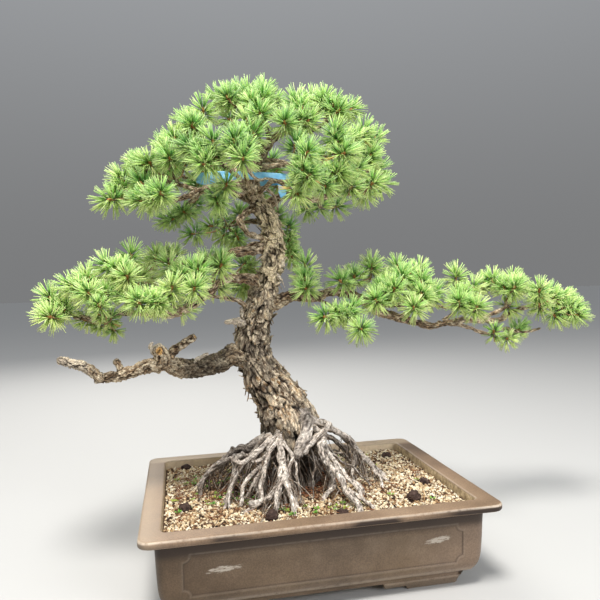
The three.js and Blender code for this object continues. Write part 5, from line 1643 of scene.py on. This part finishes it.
def barkMaterial(name, stops, creviceTone, wornTone, paleTone, dimTone, flakeWidth, streaks=(0.6, 1.25),
                 banded=0.0):
    # Scales by their own tones, then fresh, pale and dim bark, worn lips, cut wood, fibres and crevices.
    material, tree = newMaterial(name, roughness=0.85, specular=0.3)
    marks = useGroup(tree, mottle, Patch=60.0, Speckle=900.0)
    lines = useGroup(tree, grain, Width=1.1, Stretch=6.0, Flake=flakeWidth)
    own, dimmed = attribute(tree, "tone"), attribute(tree, "dim")
    mixed = mixture(tree, (own, 0.42), (lines["Scales"], 0.33), (marks["Patches"], 0.25))
    tone = ramp(tree, between(tree, mixed, 0.2, 0.8), stops)
    # Fresh bark at the trunk's top, its paleness partly painted light.
    fresh = times(tree, attribute(tree, "fresh"), between(tree, own, 0.32, 0.56, 0.2, 1.0))
    pale = times(tree, attribute(tree, "pale"), between(tree, lines["Scales"], 0.0, 0.7, 0.6, 1.0))
    dim = times(tree, dimmed, between(tree, marks["Patches"], 0.4, 0.62, 0.72, 1.0))
    worn = times(tree, attribute(tree, "edge"), between(tree, marks["Speckles"], 0.35, 0.6, 0.3, 1.0))
    worn = times(tree, worn, between(tree, dimmed, 0.0, 1.0, 1.0, 0.35))
    for share, colour in ((fresh, tint(250, 229, 186)), (pale, paleTone), (dim, dimTone), (worn, wornTone),
                          (attribute(tree, "cut"), tint(244, 190, 116))):
        tone = blend(tree, share, tone, colour)
    streak = between(tree, lines["Fibres"], 0.32, 0.68, *streaks)
    if banded:
        streak = times(tree, streak, ringBands(tree, banded))
    tone = shaded(tree, tone, streak)
    dark = maths(tree, "MAXIMUM", attribute(tree, "crack"), times(tree, lines["Cracks"], 0.7))
    tone = blend(tree, times(tree, dark, 0.92), tone, creviceTone)
    height = mixture(tree, (lines["Fibres"], 0.7), (lines["Scales"], 1.0), (lines["Cracks"], -1.0))
    return painted(material, tone, height, 0.55, 0.0009)


# Sprays of needles: the shoot tips that each carries

sprays = {
    "crown_left_tip": [(-254, -30, 515), (-238, -10, 545), (-238, 35, 533)],
    "crown_left_front": [(-210, -70, 508), (-187, -100, 513), (-212, -45, 534)],
    "crown_left_side": [(-215, 0, 560), (-201, -40, 561), (-220, 30, 573)],
    "crown_left_upper": [(-175, -75, 560), (-168, -35, 593), (-182, 20, 598)],
    "crown_left_shoulder": [(-129, -25, 636), (-145, -60, 605), (-152, 15, 630)],
    "crown_top_left": [(-94, -20, 656), (-75, 10, 671), (-104, 35, 672)],
    "crown_front_left": [(-134, -110, 547), (-122, -105, 574), (-150, -95, 570)],
    "crown_front_middle": [(-89, -130, 550), (-97, -120, 572), (-72, -100, 586)],
    "crown_front_low": [(-105, -75, 528), (-115, -60, 508)],
    "crown_left_under": [(-158, 10, 504), (-183, 30, 495), (-140, 50, 522)],
    "crown_behind_loop": [(-119, 40, 487), (-74, 60, 509), (-84, 60, 467)],
    "crown_top_middle": [(-50, -45, 647), (-64, -15, 664), (-61, -90, 615), (-40, 12, 678)],
    "crown_top_front": [(-5, -50, 643), (-29, -90, 605), (4, -75, 612)],
    "crown_top_right": [(42, -20, 657), (53, -50, 634), (34, 25, 673)],
    "crown_right_upper": [(39, -85, 594), (45, -100, 565), (75, -50, 596)],
    "crown_right_side": [(95, -30, 612), (123, 0, 610), (106, -25, 578), (131, 12, 568)],
    "crown_front_right": [(-8, -120, 559), (-6, -122, 532), (-18, -100, 514)],
    "crown_right_middle": [(38, -92, 542), (20, -95, 524), (73, -62, 552)],
    "crown_right_low": [(60, -80, 525), (100, -50, 535), (102, -15, 526), (131, -5, 543)],
    "crown_right_under": [(43, 20, 516), (75, 45, 517), (28, 50, 515)],
    "crown_behind_trunk": [(-3, 45, 484), (-7, 60, 458), (-1, 36, 441)],
    "crown_back_left": [(-212, 62, 550), (-176, 98, 566), (-150, 75, 608)],
    "crown_back_middle": [(-104, 120, 606), (-134, 114, 560), (-66, 140, 580)],
    "crown_back_right": [(-10, 136, 604), (-26, 148, 552), (32, 130, 564)],
    "crown_right_back": [(70, 104, 606), (107, 74, 572), (84, 108, 548)],
    "crown_top_back": [(-40, 52, 682), (-84, 80, 656), (14, 56, 671)],
    "left_tip": [(-332, -35, 364), (-335, -10, 387), (-325, 25, 377)],
    "left_outer": [(-306, -20, 402), (-280, -60, 392), (-289, 12, 415)],
    "left_outer_low": [(-268, -64, 377), (-295, 0, 357), (-261, 15, 341)],
    "left_top": [(-261, -25, 427), (-232, 0, 443), (-233, -60, 412)],
    "left_front": [(-218, -95, 380), (-193, -78, 379), (-178, -85, 396)],
    "left_inner": [(-150, -85, 395), (-145, -60, 418), (-181, -30, 427)],
    "left_near_trunk": [(-113, -45, 425), (-130, -12, 430)],
    "left_back": [(-201, 50, 443), (-175, 68, 446), (-227, 70, 430)],
    "left_behind": [(-63, 45, 424), (-84, 52, 398), (-66, 74, 392)],
    "left_back_outer": [(-250, 72, 408), (-210, 92, 412), (-290, 55, 395)],
    "right_near": [(6, -30, 391), (12, -5, 424)],
    "right_stalk": [(57, -30, 400), (116, 10, 417)],
    "right_hanging": [(25, -60, 352), (65, -50, 361), (68, -85, 335)],
    "right_middle": [(98, -60, 372), (127, -55, 387), (134, 5, 395)],
    "right_top": [(162, 20, 418), (154, -20, 402), (203, 35, 413)],
    "right_middle_front": [(152, -65, 360), (178, -32, 395), (204, -14, 379)],
    "right_far": [(248, 0, 403), (254, -50, 356), (232, -42, 364)],
    "right_outer_top": [(316, 10, 394), (331, -24, 383), (366, 38, 396)],
    "right_tip": [(365, -38, 378), (410, 2, 371), (439, -12, 350), (457, 28, 361)],
    "right_under": [(338, 8, 303), (376, 36, 318)],
    "right_back": [(150, 75, 378), (218, 82, 372), (285, 72, 366)],
}

# Smaller shoots of the scene's own, between the ones above or hanging from them
extraTips = {
    "right_tip": [(433, 0, 342), (376, -20, 356), (405, 30, 366), (441, -18, 338), (412, -6, 338)],
    "right_far": [(271, -10, 384), (307, 20, 392)],
    "right_stalk": [(116, 10, 424), (88, 20, 405)],
    "right_under": [(312, 4, 316)],
    "right_outer_top": [(338, 4, 352), (352, 10, 386)],
    "right_near": [(8, -22, 404)],
    "left_near_trunk": [(-72, 45, 430), (-114, -14, 397)],
    "left_tip": [(-318, -14, 372)],
    "left_outer": [(-262, -40, 392)],
    "left_top": [(-220, 10, 412)],
    "left_front": [(-235, -45, 386), (-162, -34, 372)],
    "crown_top_right": [(80, -20, 646), (60, 0, 652)],
    "crown_front_right": [(-16, -88, 576), (-8, -100, 548)],
    "crown_left_side": [(-155, 20, 572)],
    "crown_left_under": [(-138, 30, 546)],
    "crown_behind_loop": [(-80, 45, 470), (-146, 18, 474)],
    "crown_behind_trunk": [(-22, 26, 500)],
    "crown_top_front": [(-3, -20, 640)],
    "crown_front_middle": [(-75, -70, 612)],
}
# Sprays with nothing between their tips, so that the branch shows
openSprays = {"crown_right_low", "crown_right_under"}
# Size of the tufts where they are smaller than usual
tuftSizes = {
    "left_outer_low": 0.72, "crown_left_under": 0.74, "right_under": 0.86, "left_behind": 0.8,
    "left_back": 0.86, "crown_behind_loop": 0.84, "crown_behind_trunk": 0.84, "crown_front_low": 0.9,
}

needles = {
    "length": 25.0,
    "radius": 0.64,
    "bundles": 28,
    "perBundle": 5,
    "goldenTurn": 2.39996,  # radians from one bundle to the next
    "widest": 2.25,  # radians from the shoot's axis to the lowest bundle
    "fanned": (0.05, 0.18),  # how far a bundle's needles stand apart
    "lengths": (0.92, 1.05),
    "fillSize": 0.86,  # tufts between the tips, and extra ones
    "extraSize": 0.94,
    "highest": 3.5,  # the first bundle beyond the tip, and the length of shoot that carries bundles
    "leafyLength": 11.0,
    "shootRadius": 1.4,
    "stub": 4.0,
    "cushions": {"crown": (-58, 5, 540), "left": (-190, -5, 350), "right": (250, -5, 310)},
    # painted light and shade on whole sprays: the pads lighter, the crown a little darker
    "lighter": {"crown": -0.02, "left": 0.13, "right": 0.1},
}


def planSprays():
    # As for the solids: the twig leaves the nearest limb a little nearer the trunk than the spray,
    # and ends at a hub that its shoots fan out from.
    samples = [centripetal(run, 3) for run in limbs.values()]
    plans = []
    for name, tips in sprays.items():
        tips = np.array(tips, dtype=float)
        middle = tips.mean(axis=0)
        gaps = [np.linalg.norm(line[:, :3] - middle, axis=1).min() for line in samples]
        line = samples[int(np.argmin(gaps))]
        at = int(np.argmin(np.linalg.norm(line[:, :3] - middle, axis=1)))
        back, foot = line[max(at - 2, 0)], line[at, :3]
        reach = max(0.5 * np.linalg.norm(foot - middle), back[3] / 2 + 3 * needles["stub"])
        hub = foot + unit(middle - foot) * reach
        start = max(4.0, min(0.75 * back[3], 6.0))
        twig = [(*back[:3], start), (*((back[:3] + hub) / 2), (start + 4.0) / 2), (*hub, 3.6)]
        cushion = np.array(needles["cushions"][name.split("_")[0]], dtype=float)
        plans.append({"name": name, "hub": hub, "twig": twig, "tips": tips, "cushion": cushion})
    return plans


def shootAxes(plan, tips):
    # Out from the hub, away from the middle of the pad, and a little upwards.
    axes = 0.8 * unit(tips - plan["hub"]) + 0.5 * unit(tips - plan["cushion"])
    return unit(axes + np.array([0.0, 0.0, 0.35]))


def spraySurface(plan, seed):
    # Each shoot tip carries bundles of five needles spread evenly over most of a sphere, the lowest
    # ones coming from further down the shoot. Smaller shoots fill in between the tips.
    surface = Surface()
    random = np.random.default_rng(seed)
    tips = plan["tips"]
    fill = 0.36 * (tips + np.roll(tips, -1, axis=0)) + 0.28 * plan["hub"]
    fill = fill[:1] if len(tips) == 2 else fill
    fill = fill[:0] if plan["name"] in openSprays else fill
    fill = fill + random.uniform(-7, 7, fill.shape)
    more = np.array(extraTips.get(plan["name"], []), dtype=float).reshape(-1, 3)
    points = np.concatenate([tips, fill, more])
    axes = shootAxes(plan, points)
    size = np.repeat([1.0, needles["fillSize"], needles["extraSize"]], [len(tips), len(fill), len(more)])
    size = size * tuftSizes.get(plan["name"], 1.0)
    side, across = squareTo(axes)
    count, bundles = len(points), needles["bundles"]
    order = (np.arange(bundles) + 0.5) / bundles
    polar = np.arccos(1 - (1 - np.cos(needles["widest"])) * order)[None, :]
    polar = polar + random.uniform(-0.12, 0.12, (count, bundles))
    turn = needles["goldenTurn"] * np.arange(bundles)[None, :] + random.uniform(0, 6.28, (count, 1))
    turn = turn + random.uniform(-0.2, 0.2, (count, bundles))
    ray = (np.cos(polar)[..., None] * axes[:, None, :]
           + (np.sin(polar) * np.cos(turn))[..., None] * side[:, None, :]
           + (np.sin(polar) * np.sin(turn))[..., None] * across[:, None, :])
    drop = needles["highest"] - needles["leafyLength"] * order
    base = points[:, None, :] + axes[:, None, :] * drop[None, :, None]
    each = needles["perBundle"]
    spinA = unit(np.cross(ray, axes[:, None, :] + 0.01))
    spinB = np.cross(ray, spinA)
    fan = 2 * np.pi * np.arange(each) / each + random.uniform(0, 6.28, (count, bundles, 1))
    spread = random.uniform(*needles["fanned"], (count, bundles, each))
    way = unit(ray[:, :, None, :] + (spread * np.cos(fan))[..., None] * spinA[:, :, None, :]
               + (spread * np.sin(fan))[..., None] * spinB[:, :, None, :])
    length = random.uniform(*needles["lengths"], (count, bundles, each))
    length = needles["length"] * size[:, None, None] * length
    bend = 0.09 * (axes[:, None, None, :] - way) + np.array([0, 0, -0.05])
    bend = bend + random.normal(size=way.shape) * 0.03
    start = np.broadcast_to(base[:, :, None, :], way.shape) + way * 0.8
    flat = way.reshape(-1, 3)
    made, faces = needleBatch(flat, start.reshape(-1, 3), length.ravel(), bend.reshape(-1, 3),
                              needles["radius"], random)
    total = len(flat)
    along = np.tile([0.0, 0.35, 0.35, 0.35, 1.0, 1.0, 1.0], total)
    sheen = np.tile([0.4, 1.0, 0.0, 0.2, 1.0, 0.0, 0.2], total)
    sheen = sheen * np.repeat(random.uniform(0.2, 1, total), 7)
    shade = random.uniform(0, 1, (count, 1, 1)) * 0.25 + random.uniform(0, 1, (count, bundles, 1)) * 0.2
    shade = shade + random.uniform(0, 1, (count, bundles, each)) * 0.55
    # Painted light on the pads' needles and painted shade on the crown's.
    shade = shade + needles["lighter"][plan["name"].split("_")[0]]
    dry = (random.uniform(0, 1, (count, bundles, 1)) * (0.6 + 0.4 * order)[None, :, None]) > 0.965
    dry = np.broadcast_to(dry, (count, bundles, each)).ravel()
    surface.add(made, faces, along=along, sheen=sheen, shade=np.repeat(shade.ravel(), 7),
                rise=np.repeat(flat[:, 2], 7), dry=np.repeat(1.0 * dry, 7))
    for point, axis, share in zip(points, axes, size):
        addShoot(surface, plan["hub"], point, axis, share)
    return surface


def addShoot(surface, hub, point, axis, share):
    # The shoot curves from the hub to meet its own axis and ends in a pointed bud.
    radius = needles["shootRadius"] * share
    bow = point - axis * 0.42 * np.linalg.norm(point - hub)
    run = [(*hub, 2 * radius), (*(0.5 * (hub + bow)), 1.9 * radius), (*bow, 1.8 * radius),
           (*(point - 2 * axis), 2.0 * radius)]
    line = followRun(run, 9.0)
    angle = turnAngles(5)[None, :, None]
    lumpy = 1 + 0.16 * np.sin(np.arange(len(line["along"])) * 2.1)[:, None, None]
    rings = line["centre"][:, None, :] + line["radius"][:, None, None] * lumpy * spun(
        angle, line["side"][:, None, :], line["across"][:, None, :])
    surface.addTube(rings, material=1)
    t = np.array([-0.5, 0.2, 0.65, 1.0])
    swell = np.array([1.0, 1.5, 1.1, 0.15]) * radius * 1.15
    centre = point[None, :] + axis[None, :] * (t * 6.0)[:, None]
    rings = centre[:, None, :] + swell[:, None, None] * spun(angle, line["side"][-1], line["across"][-1])
    surface.addTube(rings, material=2)


def needleMaterial():
    # Each needle's own green, then: yellower hanging ones, paler ends as painted light, a pale side, dark
    # feet as painted shade, dry ones.
    material, tree = newMaterial("pineNeedles", roughness=0.4, specular=0.5)
    tone = ramp(tree, attribute(tree, "shade"), [
        (0.15, 56, 128, 38), (0.4, 110, 182, 62), (0.62, 168, 214, 98), (0.88, 226, 241, 154)])
    # The paler ends are painted light and the dark feet painted shade in the tuft's middle.
    for name, low, high, most, colour in (
            ("rise", 0.4, -0.7, 0.42, tint(222, 226, 122)), ("along", 0.5, 1.0, 0.3, tint(236, 246, 182)),
            ("sheen", 0.0, 1.0, 0.38, tint(236, 248, 202)), ("along", 0.6, 0.0, 0.7, tint(50, 116, 38)),
            ("dry", 0.0, 1.0, 1.0, tint(222, 190, 112))):
        share = between(tree, attribute(tree, name), low, high, 0.0, most)
        tone = blend(tree, share, tone, colour)
    return painted(material, tone)


sprayPlans = planSprays()
trunkBark = barkMaterial(
    "flakingBark",
    [(0.12, 52, 36, 24), (0.3, 104, 78, 54), (0.44, 140, 121, 102), (0.58, 196, 178, 156),
     (0.72, 238, 219, 188), (0.86, 172, 131, 84)],
    tint(14, 9, 6), tint(246, 228, 198), tint(212, 200, 182), tint(48, 40, 33), 3.2)
branchBark = barkMaterial(
    "branchBark",
    [(0.18, 88, 63, 43), (0.34, 150, 118, 84), (0.48, 196, 166, 128), (0.62, 158, 130, 100),
     (0.78, 230, 210, 178)],
    tint(26, 18, 12), tint(246, 230, 200), tint(206, 194, 178), tint(58, 52, 43), 2.4)
rootBark = barkMaterial(
    "rootBark",
    [(0.18, 132, 106, 84), (0.4, 188, 164, 140), (0.58, 226, 206, 184), (0.8, 255, 242, 226)],
    tint(30, 21, 15), tint(255, 248, 238), tint(250, 236, 222), tint(48, 34, 24), 3.0, (0.8, 1.12), 0.34)

for name, made, bark in (
        ("trunkBark", trunkSurface, trunkBark), ("bareBranch", bareSurface, branchBark),
        ("livingBranches", branchSurface, branchBark), ("surfaceRoots", rootSurface, rootBark)):
    makePiece(name, made(), [bark], ["tree"])
print("wood made")

youngBark = {"patch": 160.0, "speckle": 1500.0, "roughness": 0.75, "specular": 0.3, "bump": (0.4, 0.0004)}
sprayPaints = [
    needleMaterial(),
    patchyMaterial("youngShoots", [(0.35, 126, 98, 68), (0.65, 184, 152, 112)], **youngBark),
    patchyMaterial("budScales", [(0.35, 138, 90, 46), (0.65, 190, 142, 82)], **youngBark)]
for seed, plan in enumerate(sprayPlans):
    makePiece(f"pineSpray_{plan['name']}", spraySurface(plan, 1000 + seed), sprayPaints,
              [f"needles_{plan['name']}"])
print("needles made")

# Label strap round the crown's limbs

strap = {
    "centre": (-72.0, -2.0, 549.0),
    "halfX": 68.0,
    "halfY": 30.0,
    "height": 10.5,
    "thickness": 1.0,
    "tailY": -23.5,
    "tail": ((-22.5, 552.0, 5.4), (-22.4, 538.0, 5.5), (-22.5, 527.0, 5.6), (-22.2, 519.5, 3.4)),
}


def bandSection(halfWide, halfThick):
    # A flat band's section with rounded edges: eight points, across and through the thickness.
    return np.array([(-1, -0.6), (-0.9, -1), (0.9, -1), (1, -0.6), (1, 0.6), (0.9, 1), (-0.9, 1), (-1, 0.6)]
                    ) * [halfWide, halfThick]


def strapSurface():
    # An oval band that sags twice round, and one end of it hanging down in front.
    surface = Surface()
    angle = turnAngles(96)
    out = unit(np.stack([np.cos(angle) * strap["halfY"], np.sin(angle) * strap["halfX"], 0 * angle], axis=1))
    middle = np.stack([strap["halfX"] * np.cos(angle), strap["halfY"] * np.sin(angle),
                       0.8 * np.sin(2 * angle + 0.5)], axis=1) + strap["centre"]
    section = bandSection(strap["height"] / 2, strap["thickness"] / 2)
    up = np.array([0.0, 0.0, 1.0])
    rings = (middle[:, None, :] + section[None, :, 0, None] * up
             + section[None, :, 1, None] * out[:, None, :])
    surface.addLoop(rings)
    tail = np.array(strap["tail"])
    section = bandSection(1.0, 0.9)
    rings = np.stack([
        tail[:, None, 0] + section[None, :, 0] * tail[:, None, 2],
        np.full((len(tail), 8), strap["tailY"]) + section[None, :, 1],
        tail[:, None, 1] + 0 * section[None, :, 0]], axis=-1)
    surface.addTube(rings)
    return surface


strapPaint = patchyMaterial(
    "blueStrap", [(0.35, 94, 170, 220), (0.65, 150, 208, 238)], 40.0, 600.0, 0.38, 0.5, (0.1, 0.0003))
makePiece("blueStrap", strapSurface(), [strapPaint], ["label_strap"], smooth=False)
meshPaint = patchyMaterial("plasticMesh", [(0.3, 30, 33, 35), (0.7, 58, 60, 60)], 90.0, 800.0, 0.55)
for node in pot["screenNodes"]:
    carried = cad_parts[node].data
    carried.materials.clear()
    carried.materials.append(meshPaint)
print("strap and screens made")
